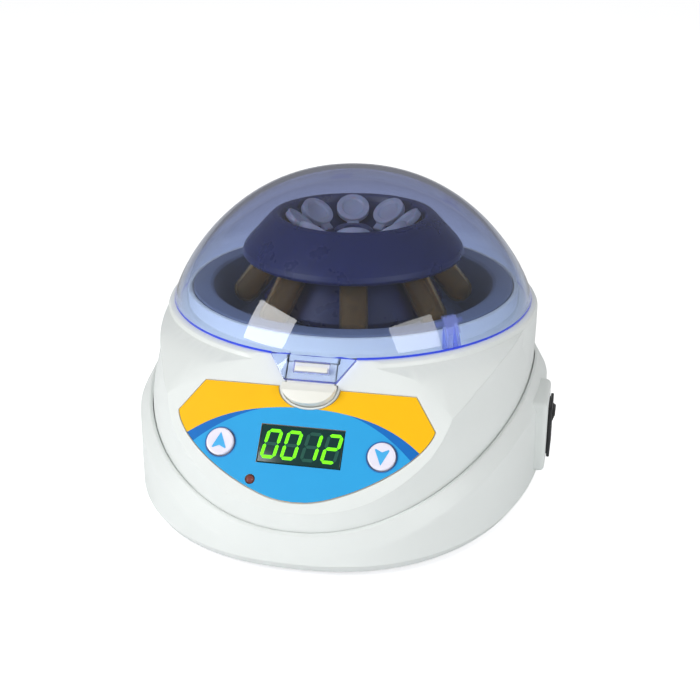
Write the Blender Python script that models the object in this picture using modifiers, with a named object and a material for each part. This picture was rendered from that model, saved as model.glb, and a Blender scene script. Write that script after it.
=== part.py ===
"""Mini centrifuge: two-piece housing, clear domed lid, eight-place angled rotor, timer panel.

Metres, +Z up. The rotor spins about a vertical line, the front of the machine faces -Y and the
switch is on +X. Everything hangs on one empty that centres the machine on its own footprint.
"""

import math

import bmesh
import bpy
from mathutils import Matrix, Vector

mm = 0.001

# Fits
gap = 0.3 * mm            # between neighbours that touch or are seated
overrun = 2.0 * mm        # how far a cutter runs past what it cuts
weld_distance = 0.001 * mm

# Shares that give a round shape its smoothness
plan_steps_share = 42
round_steps_share = 36
small_steps_share = 12
tiny_steps_share = 8
tube_steps_share = 10
tube_end_share = 3

# The rotor and its tubes: the chamber and the housing are sized round them
tube_angle_deg = 38.0
tube_angle = math.radians(tube_angle_deg)
tube_radius = 5.4 * mm
tube_tip_r = 43.0 * mm
tube_wall = 1.0 * mm
tube_reach = 34.4 * mm
tube_rim_overhang = 0.9 * mm
tube_rim_radius = tube_radius + tube_rim_overhang
tube_rim_thickness = 0.9 * mm
cap_overhang = 0.4 * mm
cap_radius = tube_rim_radius + cap_overhang
cap_thickness = 2.6 * mm
cap_plug_depth = 4.0 * mm
cap_dish = 0.8 * mm
cap_tab_length = 2.6 * mm
cap_tab_half = 2.4 * mm
front_tube_deg = 11.7
rotor_places = 8
tube_stand = 1.8 * mm
rotor_seat_reach = tube_reach - tube_stand
rotor_skirt_margin = 1.2 * mm
rotor_skirt_radius = tube_tip_r + rotor_skirt_margin
rotor_rim_margin = 6.4707 * mm
rotor_edge_radius = tube_tip_r - rotor_seat_reach * math.sin(tube_angle) + rotor_rim_margin
rotor_wall = 3.0 * mm
rotor_cone_clear = 1.2 * mm

# Chamber bowl, from the swing of the tubes outwards
bowl_swing_clear = 2.2 * mm
bowl_flare = 5.1 * mm
bowl_flange_width = 8.5 * mm
bowl_floor_radius = tube_tip_r + tube_radius + bowl_swing_clear
bowl_mouth_radius = bowl_floor_radius + bowl_flare
bowl_flange_radius = bowl_mouth_radius + bowl_flange_width
bowl_flange_thickness = 2.0 * mm
bowl_wall = 2.0 * mm
bowl_boss_radius = 8.0 * mm
bowl_boss_height = 6.8 * mm
lip_wall = 1.8 * mm
lip_radius = bowl_flange_radius + gap + lip_wall

# Lid and the collar that it sits on
lid_margin = 6.1 * mm
lid_radius = lip_radius + lid_margin
lid_height = 50.2 * mm
lid_wall = 2.2 * mm
lid_width_power_share = 0.88
lid_height_power_share = 1.54
lid_rings_share = 8
collar_margin = 2.4 * mm
collar_radius = lid_radius + collar_margin
collar_chamfer = 1.9 * mm

# Heights of the housing
foot_height = 3.1 * mm
skirt_bottom_z = foot_height + gap
skirt_bulge_rise = 3.2 * mm
skirt_bulge_z = skirt_bottom_z + skirt_bulge_rise
base_plate_thickness = 2.6 * mm
ledge_z = 66.7 * mm
shoulder_drop = 8.7 * mm
shoulder_z = ledge_z - shoulder_drop
split_side_drop = 14.8 * mm
split_side_z = shoulder_z - split_side_drop
split_front_rise = 14.1 * mm
split_front_z = skirt_bottom_z + split_front_rise
lid_rim_z = ledge_z + gap

# Heights of the chamber and the rotor
bowl_stand = 6.3 * mm
bowl_top_z = ledge_z + bowl_stand
bowl_depth = 22.8 * mm
bowl_floor_z = bowl_top_z - bowl_depth
tube_tip_clear = 17.7 * mm
tube_tip_z = bowl_floor_z + tube_tip_clear
rotor_seat_z = tube_tip_z + rotor_seat_reach * math.cos(tube_angle)
rotor_rim_rise = 7.111 * mm
rotor_skirt_drop = 9.589 * mm
rotor_hub_drop = 5.089 * mm
rotor_edge_z = rotor_seat_z + rotor_rim_rise
rotor_skirt_z = rotor_seat_z - rotor_skirt_drop
rotor_hub_z = rotor_seat_z - rotor_hub_drop
rotor_cone_drop = 5.1 * mm
rotor_cone_bottom_z = tube_tip_z - rotor_cone_drop

# Plan of the housing: half width, reach to the front, fullness of the front curve
foot_side_margin = 1.2 * mm
upper_foot_half_width = collar_radius + foot_side_margin
foot_front_margin = 37.4 * mm
upper_foot_reach = lid_radius + foot_front_margin
bib_side_margin = 0.6 * mm
upper_bib_half_width = collar_radius + bib_side_margin
bib_front_margin = 35.2 * mm
upper_bib_reach = lid_radius + bib_front_margin
waist_side_tuck = 0.2 * mm
upper_waist_half_width = collar_radius - waist_side_tuck
waist_front_margin = 36.6 * mm
upper_waist_reach = lid_radius + waist_front_margin
top_side_tuck = 2.4 * mm
upper_top_half_width = collar_radius - top_side_tuck
top_front_margin = 39.6 * mm
upper_top_reach = lid_radius + top_front_margin
skirt_side_flare = 4.6 * mm
skirt_half_width = upper_foot_half_width + skirt_side_flare
skirt_front_flare = 2.0 * mm
skirt_reach = upper_foot_reach + skirt_front_flare
skirt_fullness_share = 2.32
upper_fullness_share = 2.3
top_fullness_share = 2.05

# Walls of the housing
housing_wall = 2.4 * mm
skirt_wall = 3.0 * mm
skirt_tuck = 2.0 * mm
skirt_round = 1.4 * mm
crease_drop = 8.0 * mm
lap_height = 3.0 * mm
lap_margin = 0.4 * mm
lap_clear = lap_height - skirt_round - lap_margin
brow_drop = 2.2 * mm
brow_reach = 7.5 * mm
brow_slope_share = 0.65

# Lid tab and catch window, on the slope of the panel
tab_top_half = 15.7 * mm
tab_bottom_half = 9.6 * mm
tab_thickness = 2.2 * mm
tab_bottom_v = 3.3 * mm
tab_top_v = -6.6 * mm
slot_half = 6.5 * mm
slot_top_v = -3.9 * mm
slot_bottom_v = 0.4 * mm

# Lid interlock prong
prong_azimuth_deg = 42.5
prong_clear = 0.8 * mm
prong_inner = lip_radius + prong_clear
prong_depth = 2.1 * mm
prong_outer = prong_inner + prong_depth
prong_drop = 4.1 * mm
prong_foot_z = ledge_z - prong_drop
prong_height = 14.6 * mm
prong_top_z = prong_foot_z + prong_height
prong_wall = 1.3 * mm
prong_spread = 2.4 * mm
prong_play = 0.6 * mm
micro_length = 12.8 * mm
micro_width = 5.8 * mm
micro_height = 6.5 * mm

# Panel slope
panel_angle_deg = 48.0
panel_margin = 1.5 * mm
panel_y = -lid_radius - panel_margin
panel_drop = 4.8 * mm
panel_z = ledge_z - panel_drop

# Printed label, across and down the panel
label_top_half = 38.2 * mm
label_top_v = 5.5 * mm
label_half = 46.1 * mm
label_side_v = 17.3 * mm
label_bottom_v = 47.4 * mm
label_curve_share = 1.5
label_thickness = 0.45 * mm
label_recess = 0.5 * mm

# Display, lamp and buttons
display_half = 14.8 * mm
display_height = 13.6 * mm
display_v = 26.8 * mm
window_thickness = 1.9 * mm
button_u = 28.9 * mm
button_v = 27.9 * mm
button_radius = 4.9 * mm
button_stand = 1.3 * mm
button_flange = 1.3 * mm
button_flange_thickness = 1.4 * mm
button_stem_radius = 1.8 * mm
button_travel = 0.5 * mm
button_free_play = 0.3 * mm
led_u = -16.2 * mm
led_v = 40.1 * mm
led_radius = 1.5 * mm
tact_size = 6.0 * mm
tact_height = 3.4 * mm
board_half = 34.5 * mm
board_top_v = 14.0 * mm
board_bottom_v = 43.5 * mm
board_thickness = 1.6 * mm
board_depth = 9.0 * mm
board_inset = 3.2 * mm
post_radius = 2.6 * mm
stake_radius = 1.1 * mm
stake_stand = 0.9 * mm
small_screw_radius = 1.1 * mm
small_head_radius = 2.2 * mm
small_head_height = 1.4 * mm
small_screw_length = 5.0 * mm

# Latch lever
lever_half = 8.7 * mm
lever_top_v = -3.5 * mm
lever_thickness = 2.4 * mm
pad_half = 9.8 * mm
pad_swing = 0.4 * mm      # room above the pad for it to tip
pad_top_v = tab_bottom_v + 2 * gap + pad_swing
pad_bottom_v = 12.2 * mm
pad_height = 3.8 * mm
pad_scoop_radius = 14.0 * mm
pad_scoop_depth = 2.6 * mm
nose_play = 0.5 * mm
nose_half = slot_half - nose_play
nose_top_v = -1.9 * mm
nose_bottom_v = 0.1 * mm
nose_height = 2.9 * mm
pivot_v = 15.4 * mm
pivot_depth = 5.4 * mm
pivot_radius = 2.4 * mm
latch_pin_radius = 1.0 * mm
lever_slit = 0.5 * mm
slit_width = 1.0 * mm
slit_length = 4.5 * mm
slit_top_v = lever_top_v - slit_length
ear_thickness = 2.2 * mm

# Hub of the rotor and its nut
shaft_radius = 3.0 * mm
rotor_hub_radius = 9.5 * mm
nut_radius = 7.6 * mm
nut_height = 5.2 * mm

# Motor and its carrier
shaft_stand = 3.5 * mm
shaft_top_z = rotor_hub_z + shaft_stand
motor_radius = 18.5 * mm
motor_clear = 3.0 * mm
motor_bottom_z = skirt_bottom_z + base_plate_thickness + motor_clear
motor_head_room = 10.2 * mm
motor_top_z = bowl_floor_z - motor_head_room
motor_wall = 1.5 * mm
end_cap_thickness = 2.5 * mm
bearing_radius = 8.0 * mm
bearing_height = 4.5 * mm
bearing_seat = 1.7 * mm
armature_radius = 15.5 * mm
armature_low_margin = 8.0 * mm
armature_low_z = motor_bottom_z + armature_low_margin
armature_high_margin = 6.5 * mm
armature_high_z = motor_top_z - armature_high_margin
motor_plate_radius = 37.5 * mm
motor_plate_thickness = 2.0 * mm
motor_screw_ring = 13.2 * mm
motor_post_ring = 33.0 * mm
motor_post_radius = 4.0 * mm
mount_radius = 5.6 * mm
mount_height = 6.4 * mm
mount_neck_radius = 3.6 * mm
mount_head_radius = 5.0 * mm
mount_head_height = 1.8 * mm
mount_pin_radius = 1.5 * mm

# Base fasteners and feet
base_screw_radius = 1.4 * mm
base_head_radius = 2.8 * mm
base_head_height = 1.5 * mm
base_screw_length = 12.0 * mm
boss_radius = 4.4 * mm
boss_height = 20.6 * mm
boss_top_z = skirt_bottom_z + boss_height
boss_inset = 6.8 * mm
boss_turns_deg = (48.0, 132.0, 218.0, 322.0)
foot_radius = 6.5 * mm
foot_stem_radius = 2.4 * mm
foot_stem_height = 2.2 * mm
foot_knob_radius = 3.2 * mm
foot_inset = 19.0 * mm
foot_turns_deg = (52.0, 128.0, 236.0, 304.0)

# Hinge at the back
hinge_margin = 7.8 * mm
hinge_y = lid_radius + hinge_margin
hinge_drop = 2.7 * mm
hinge_z = ledge_z - hinge_drop
hinge_eye_radius = 4.5 * mm
hinge_pin_radius = 1.5 * mm
lug_centre = 19.0 * mm
lug_half = 2.6 * mm
outer_ear = 4.0 * mm
bracket_height = 14.5 * mm
bracket_bottom_z = hinge_z - bracket_height
bracket_back = 0.5 * mm

# Power switch on the right
switch_y = -20.0 * mm
switch_z = 24.0 * mm
switch_pad_half_y = 13.0 * mm
switch_pad_half_z = 14.6 * mm
switch_pad_stand = 1.9 * mm
switch_pad_x = skirt_half_width + switch_pad_stand
pad_round = 2.0 * mm
switch_flange_half_y = 7.5 * mm
switch_flange_half_z = 10.5 * mm
switch_flange_thickness = 1.2 * mm
switch_body_half_y = 6.4 * mm
switch_body_half_z = 9.5 * mm
switch_body_depth = 15.0 * mm
switch_pocket_half_y = 5.2 * mm
switch_pocket_half_z = 8.7 * mm
switch_pocket_depth = 9.0 * mm
rocker_half_y = 4.8 * mm
rocker_half_z = 7.9 * mm
rocker_face = 3.0 * mm
rocker_hollow = 0.7 * mm
rocker_back = 2.6 * mm
rocker_pivot_depth = 3.0 * mm
rocker_tilt_deg = 10.0

# Power inlet at the back
inlet_z = 23.0 * mm
inlet_pad_half_x = 17.5 * mm
inlet_pad_half_z = 13.2 * mm
inlet_pad_stand = 1.2 * mm
inlet_pad_y = skirt_half_width + inlet_pad_stand
inlet_flange_half_x = 14.5 * mm
inlet_flange_half_z = 11.2 * mm
inlet_flange_thickness = 1.6 * mm
inlet_body_half_x = 12.6 * mm
inlet_body_half_z = 9.2 * mm
inlet_body_depth = 15.0 * mm
inlet_wall = 1.6 * mm
inlet_pin_half_x = 1.0 * mm
inlet_pin_half_z = 2.0 * mm
inlet_pin_spread = 7.0 * mm
inlet_pin_drop = 2.6 * mm
inlet_pin_length = 9.0 * mm

# Power supply board
supply_half_x = 31.0 * mm
supply_length = 31.0 * mm
supply_margin = 2.6655 * mm
supply_front_y = motor_post_ring * math.sin(math.pi / 4) + motor_post_radius + supply_margin
supply_back_y = supply_front_y + supply_length
supply_stand = 4.6 * mm
supply_inset = 3.2 * mm
transformer_half_x = 16.5 * mm
transformer_half_y = 11.5 * mm
transformer_margin = 16.0 * mm
transformer_y = supply_back_y - transformer_margin
transformer_height = 23.0 * mm
winding_half_x = 11.0 * mm

turn = math.tau
half_turn = math.pi
quarter_turn = math.pi / 2
panel_angle = math.radians(panel_angle_deg)

base_plate_z = skirt_bottom_z
base_top_z = base_plate_z + base_plate_thickness
end_cap_z = motor_top_z + gap
motor_plate_z = end_cap_z + end_cap_thickness + gap
motor_plate_top_z = motor_plate_z + motor_plate_thickness
post_top_z = motor_plate_z - mount_height - 2 * gap
mount_top_z = motor_plate_top_z + gap + mount_head_height
hinge_back_y = hinge_y + hinge_eye_radius + bracket_back
switch_face_x = switch_pad_x + gap + switch_flange_thickness
rocker_x = switch_face_x - rocker_pivot_depth
rocker_tilt = math.radians(rocker_tilt_deg)
rocker_reach_x = (rocker_x + rocker_face * math.cos(rocker_tilt)
                  + rocker_half_z * math.sin(rocker_tilt))


def clear_scene():
    for obj in list(bpy.data.objects):
        bpy.data.objects.remove(obj, do_unlink=True)
    for collection in list(bpy.data.collections):
        bpy.data.collections.remove(collection)


clear_scene()
parts = bpy.data.collections.new("mini_centrifuge")
cutters = bpy.data.collections.new("cutters")
bpy.context.scene.collection.children.link(parts)
bpy.context.scene.collection.children.link(cutters)

# The machine is centred on the box that it fills.
machine = bpy.data.objects.new("machine", None)
machine.location = ((skirt_half_width - rocker_reach_x) / 2,
                    (skirt_reach - hinge_back_y) / 2, 0)
parts.objects.link(machine)


def linear(channel):
    if channel <= 0.04045:
        return channel / 12.92
    return ((channel + 0.055) / 1.055) ** 2.4


def material(name, colour, roughness, metallic=0.0, alpha=1.0):
    made = bpy.data.materials.new(name)
    made.use_nodes = True
    shader = made.node_tree.nodes["Principled BSDF"]
    channels = [linear(int(colour[i:i + 2], 16) / 255) for i in (0, 2, 4)]
    shader.inputs["Base Color"].default_value = (*channels, 1.0)
    shader.inputs["Roughness"].default_value = roughness
    shader.inputs["Metallic"].default_value = metallic
    shader.inputs["Alpha"].default_value = alpha
    made.diffuse_color = (*channels, alpha)
    return made


def place(obj, name, collection=parts, finish=None, parent=machine):
    """Names an object and puts it in its collection, under the machine's empty."""
    obj.name = name
    obj.data.name = name
    for home in list(obj.users_collection):
        home.objects.unlink(obj)
    collection.objects.link(obj)
    obj.parent = parent
    if finish is not None:
        obj.data.materials.clear()
        obj.data.materials.append(finish)
    if collection is cutters:
        obj.hide_render = True
        obj.display_type = "WIRE"
    return obj


def smooth(obj, angle_deg=35.0):
    obj.data.shade_smooth()
    obj.data.set_sharp_from_angle(angle=math.radians(angle_deg))
    return obj


def from_bmesh(bm, name, collection, finish):
    bmesh.ops.remove_doubles(bm, verts=bm.verts, dist=weld_distance)
    bmesh.ops.recalc_face_normals(bm, faces=bm.faces)
    mesh = bpy.data.meshes.new(name)
    bm.to_mesh(mesh)
    bm.free()
    return place(bpy.data.objects.new(name, mesh), name, collection, finish)


def box(name, low, high, finish=None, collection=parts):
    """A block between two corners."""
    bm = bmesh.new()
    bmesh.ops.create_cube(bm, size=1.0)
    low, high = Vector(low), Vector(high)
    bmesh.ops.scale(bm, vec=high - low, verts=bm.verts)
    bmesh.ops.translate(bm, vec=(low + high) / 2, verts=bm.verts)
    return from_bmesh(bm, name, collection, finish)


def rod(name, radius, start, end, steps, finish=None, collection=parts, end_radius=None):
    """A cylinder or cone between two points."""
    bm = bmesh.new()
    start, end = Vector(start), Vector(end)
    line = end - start
    last = radius if end_radius is None else end_radius
    bmesh.ops.create_cone(bm, cap_ends=True, segments=steps, radius1=radius, radius2=last,
                          depth=line.length)
    bmesh.ops.rotate(bm, matrix=line.to_track_quat("Z", "Y").to_matrix(), verts=bm.verts)
    bmesh.ops.translate(bm, vec=(start + end) / 2, verts=bm.verts)
    return from_bmesh(bm, name, collection, finish)


def turned(name, profile, steps, finish=None, collection=parts):
    """A closed profile of (radius, height) points, screwed about Z and applied."""
    mesh = bpy.data.meshes.new(name)
    points = [(r, 0, z) for r, z in profile]
    pairs = [(i, (i + 1) % len(points)) for i in range(len(points))]
    edges = [(i, j) for i, j in pairs if points[i][0] > 0 or points[j][0] > 0]
    mesh.from_pydata(points, edges, [])
    obj = place(bpy.data.objects.new(name, mesh), name, collection, finish)
    screw = obj.modifiers.new("turned", "SCREW")
    screw.steps = steps
    screw.render_steps = steps
    screw.use_merge_vertices = True
    screw.merge_threshold = weld_distance
    return face_outward(apply_all(obj))


def face_outward(obj):
    bm = bmesh.new()
    bm.from_mesh(obj.data)
    bmesh.ops.recalc_face_normals(bm, faces=bm.faces)
    bm.to_mesh(obj.data)
    bm.free()
    return obj


def outline(name, points, low, high, finish=None, collection=parts):
    """A flat outline on XY as a filled 2D curve, made solid from low to high."""
    curve = bpy.data.curves.new(name, "CURVE")
    curve.dimensions = "2D"
    curve.fill_mode = "BOTH"
    curve.extrude = (high - low) / 2
    spline = curve.splines.new("POLY")
    spline.points.add(len(points) - 1)
    for spot, (x, y) in zip(spline.points, points):
        spot.co = (x, y, 0, 1)
    spline.use_cyclic_u = True
    holder = bpy.data.objects.new(name, curve)
    bpy.context.scene.collection.objects.link(holder)
    graph = bpy.context.evaluated_depsgraph_get()
    mesh = bpy.data.meshes.new_from_object(holder.evaluated_get(graph))
    bpy.data.objects.remove(holder)
    bm = bmesh.new()
    bm.from_mesh(mesh)
    bmesh.ops.translate(bm, vec=(0, 0, (high + low) / 2), verts=bm.verts)
    return from_bmesh(bm, name, collection, finish)


def apply_all(obj):
    """Applies an object's modifiers to its mesh."""
    graph = bpy.context.evaluated_depsgraph_get()
    mesh = bpy.data.meshes.new_from_object(obj.evaluated_get(graph))
    obj.modifiers.clear()
    old = obj.data
    obj.data = mesh
    bpy.data.meshes.remove(old)
    return obj


def cut(obj, *tools, operation="DIFFERENCE"):
    """Cuts, joins or intersects an object with each tool in turn and drops the tools."""
    for tool in tools:
        step = obj.modifiers.new("cut", "BOOLEAN")
        step.operation = operation
        step.solver = "EXACT"
        step.object = tool
        apply_all(obj)
        bpy.data.objects.remove(tool, do_unlink=True)
    return obj


def join(obj, *others):
    return cut(obj, *others, operation="UNION")


def move_mesh(obj, matrix):
    obj.data.transform(matrix)
    return obj


def set_origin(obj, point):
    """Puts an object's origin on a point, with its mesh where it was."""
    obj.data.transform(Matrix.Translation(-Vector(point)))
    obj.location = point
    return obj


# The panel's own frame: x across, y down the slope, z out of the panel.
panel_down = Vector((0, -math.cos(panel_angle), -math.sin(panel_angle)))
panel_out = Vector((0, -math.sin(panel_angle), math.cos(panel_angle)))
panel_frame = Matrix((
    (-1, 0, 0, 0),
    (0, panel_down.y, panel_out.y, panel_y),
    (0, panel_down.z, panel_out.z, panel_z),
    (0, 0, 0, 1),
))


def panel_point(across, down, out=0.0):
    return Vector((across, panel_y, panel_z)) + panel_down * down + panel_out * out


def panel_turned(name, across, down, profile, steps, finish):
    """A turned piece whose axis stands square on the panel. Its heights are out of the panel."""
    piece = turned(name, profile, steps, finish)
    stand = panel_out.to_track_quat("Z", "X").to_matrix().to_4x4()
    return move_mesh(piece, Matrix.Translation(panel_point(across, down)) @ stand)


def on_panel(obj):
    """Moves a mesh made in the panel's frame to its place. The frame is mirrored, so it flips."""
    return face_outward(move_mesh(obj, panel_frame))


def panel_box(name, half, top, bottom, low, high, finish=None, collection=parts, centre=0.0):
    """A block on the panel: half width, from top to bottom down the slope, low to high out of it."""
    block = box(name, (-centre - half, top, low), (-centre + half, bottom, high), finish,
                collection)
    return on_panel(block)


def panel_rod(name, radius, across, down, low, high, steps, finish=None, collection=parts):
    return rod(name, radius, panel_point(across, down, low), panel_point(across, down, high),
               steps, finish, collection)


def side_plate(name, points, half):
    """A plate across the panel, drawn from its side as (down, out) points."""
    plate = outline(name, points, -half, half, None, cutters)
    frame = Matrix(((0, 0, 1, 0), (panel_down.y, panel_out.y, 0, panel_y),
                    (panel_down.z, panel_out.z, 0, panel_z), (0, 0, 0, 1)))
    return face_outward(move_mesh(plate, frame))


def egg(half_width, reach, fullness, angle, inset=0.0):
    """A point of the housing's plan: round behind the rotor, a full curve in front of it."""
    a, b = half_width - inset, reach - inset
    c, s = math.cos(angle), math.sin(angle)
    if s >= 0:
        return Vector((a * c, a * s))
    power = 2 / fullness
    return Vector((math.copysign(a * abs(c) ** power, c), -b * abs(s) ** power))


def blend(value, table):
    """Reads a table of (height, width, reach, fullness) rows at a height."""
    if value <= table[0][0]:
        return table[0][1:]
    for low, high in zip(table, table[1:]):
        if value <= high[0]:
            part = (value - low[0]) / (high[0] - low[0])
            return [p + (q - p) * part for p, q in zip(low[1:], high[1:])]
    return table[-1][1:]


bib_z = panel_z - (upper_bib_reach + panel_y) * math.tan(panel_angle)
upper_table = [
    (skirt_bottom_z, upper_foot_half_width, upper_foot_reach, upper_fullness_share),
    (bib_z, upper_bib_half_width, upper_bib_reach, upper_fullness_share),
    (split_side_z, upper_waist_half_width, upper_waist_reach, upper_fullness_share),
    (shoulder_z, upper_top_half_width, upper_top_reach, top_fullness_share),
]


def upper_plan(angle, z, inset=0.0):
    width, reach, fullness = blend(z, upper_table)
    return egg(width, reach, fullness, angle, inset)


def split_height(x, y):
    """The smile line: level at the back, falling in an even curve towards the front."""
    if y > 0:
        return split_side_z
    share = min(abs(x) / upper_waist_half_width, 1.0)
    return split_front_z + (split_side_z - split_front_z) * share ** 2


def loft(name, rings, finish=None, collection=parts, ring_shut=False):
    """Skins between rings of equal count, capped at both ends or shut on itself."""
    bm = bmesh.new()
    made = [[bm.verts.new(p) for p in ring] for ring in rings]
    pairs = list(zip(made, made[1:]))
    if ring_shut:
        pairs.append((made[-1], made[0]))
    for low, high in pairs:
        for i in range(len(low)):
            j = (i + 1) % len(low)
            bm.faces.new((low[i], low[j], high[j], high[i]))
    if not ring_shut:
        bm.faces.new(made[0])
        bm.faces.new(made[-1])
    return from_bmesh(bm, name, collection, finish)


def plan_angles():
    return [turn * (i + 0.5) / plan_steps_share for i in range(plan_steps_share)]


def upper_block(name, inset, low_z, collection):
    """The solid that the upper housing is shelled from, inset by a wall."""
    levels = [low_z, bib_z, split_side_z, shoulder_z, ledge_z + overrun]
    rings = []
    for z in levels:
        points = [upper_plan(t, z, inset) for t in plan_angles()]
        rings.append([(p.x, p.y, z) for p in points])
    block = loft(name, rings, None, collection)
    top = ledge_z - inset
    brow_z = ledge_z - collar_chamfer - brow_drop - inset
    far = upper_top_reach + skirt_reach
    first = collar_radius + brow_reach
    crown = turned("crown", [
        (0, brow_z + brow_drop), (collar_radius - inset, brow_z + brow_drop), (first, brow_z),
        (far, brow_z - (far - first) * brow_slope_share), (far, low_z - overrun - far),
        (0, low_z - overrun - far),
    ], round_steps_share, None, cutters)
    cut(block, crown, operation="INTERSECT")
    rim = collar_radius - inset
    collar = turned("collar", [
        (0, top), (rim - collar_chamfer, top), (rim, top - collar_chamfer),
        (rim, shoulder_z - inset), (rim - gap, split_side_z), (0, split_side_z),
    ], plan_steps_share, None, cutters)
    join(block, collar)
    reach = skirt_reach + lid_radius
    slope = box("slope", (-reach, -reach, -inset), (reach, reach, reach), None, cutters)
    on_panel(slope)
    return cut(block, slope)


# Finishes
abs_white = material("white_abs", "DFE5E1", 0.42)
abs_warm = material("warm_white_abs", "E9E8DE", 0.4)
abs_grey = material("grey_abs", "7C8494", 0.45)
abs_black = material("black_abs", "17181B", 0.4)
abs_navy = material("navy_abs", "232A55", 0.38)
clear_blue = material("clear_blue_polycarbonate", "9AA6E0", 0.08, alpha=0.45)
clear_dark = material("smoked_acrylic", "123A38", 0.12, alpha=0.6)
printed_film = material("printed_film", "3DB3EE", 0.4)
rubber = material("black_rubber", "141414", 0.85)
steel = material("steel", "B9BCC0", 0.3, 1.0)
zinc = material("zinc_plated_steel", "A9ADB3", 0.35, 1.0)
copper = material("copper_winding", "A75A34", 0.4, 1.0)
board_green = material("green_board", "1F6B45", 0.5)
tube_amber = material("amber_polypropylene", "B39A62", 0.3, alpha=0.7)
cap_frost = material("frosted_polypropylene", "C9CCD8", 0.45)
button_white = material("white_button_abs", "E8E4F4", 0.35)
lamp_red = material("red_lamp_epoxy", "7A3A34", 0.3)


def pan_screw(name, radius, head_radius, head_height, length, start, way):
    """A pan-head screw. start is the underside of its head, way the line that its shank follows."""
    start, way = Vector(start), Vector(way).normalized()
    shank = rod(name, radius, start - way * head_height / 2, start + way * length,
                tiny_steps_share)
    head = rod("head", head_radius, start - way * head_height, start, tiny_steps_share, None,
               cutters)
    return smooth(place(join(shank, head), name, parts, zinc))


def spots(angles_deg, half_width, reach, fullness, inset):
    """Places inside the plan, found by angle and inset."""
    return [egg(half_width, reach, fullness, math.radians(a), inset) for a in angles_deg]


boss_spots = spots(boss_turns_deg, skirt_half_width, skirt_reach, skirt_fullness_share,
                   boss_inset)
foot_spots = spots(foot_turns_deg, skirt_half_width, skirt_reach, skirt_fullness_share,
                   foot_inset)
post_spots = [Vector((motor_post_ring * math.cos(turn * (i + 0.5) / 4),
                      motor_post_ring * math.sin(turn * (i + 0.5) / 4))) for i in range(4)]
supply_spots = [Vector((x * (supply_half_x - supply_inset), y)) for x in (-1, 1)
                for y in (supply_front_y + supply_inset, supply_back_y - supply_inset)]
board_spots = [(x * (board_half - board_inset), v) for x in (-1, 1)
               for v in (board_top_v + board_inset, board_bottom_v - board_inset)]


def label_points(margin=0.0):
    """Outline of the printed label on the panel, with a bite for the latch pad."""
    bite = pad_half + lever_slit + 3 * gap - margin
    bite_rise = pad_bottom_v + lever_slit + 3 * gap - label_top_v
    points = []
    steps = small_steps_share
    for i in range(steps + 1):
        t = half_turn * i / steps
        points.append((-bite * math.cos(t), label_top_v - margin + bite_rise * math.sin(t)))
    points.append((label_top_half + margin / 2, label_top_v - margin))
    low = label_bottom_v - label_side_v + margin
    wide = label_half + margin
    power = 2 / label_curve_share
    for i in range(2 * steps + 1):
        t = half_turn * i / (2 * steps)
        c = math.cos(t)
        points.append((math.copysign(wide * abs(c) ** power, c),
                       label_side_v + low * math.sin(t) ** power))
    points.append((-label_top_half - margin / 2, label_top_v - margin))
    return points


def pad_points(grow=0.0, swing=0.0):
    """The latch pad seen square on: straight above, round below."""
    top, low = pad_top_v - grow - swing, pad_bottom_v + grow
    half = pad_half + grow
    steps = small_steps_share
    return [(half * math.cos(half_turn * i / steps), top + (low - top)
             * math.sin(half_turn * i / steps) ** 0.8) for i in range(steps + 1)]


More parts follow.
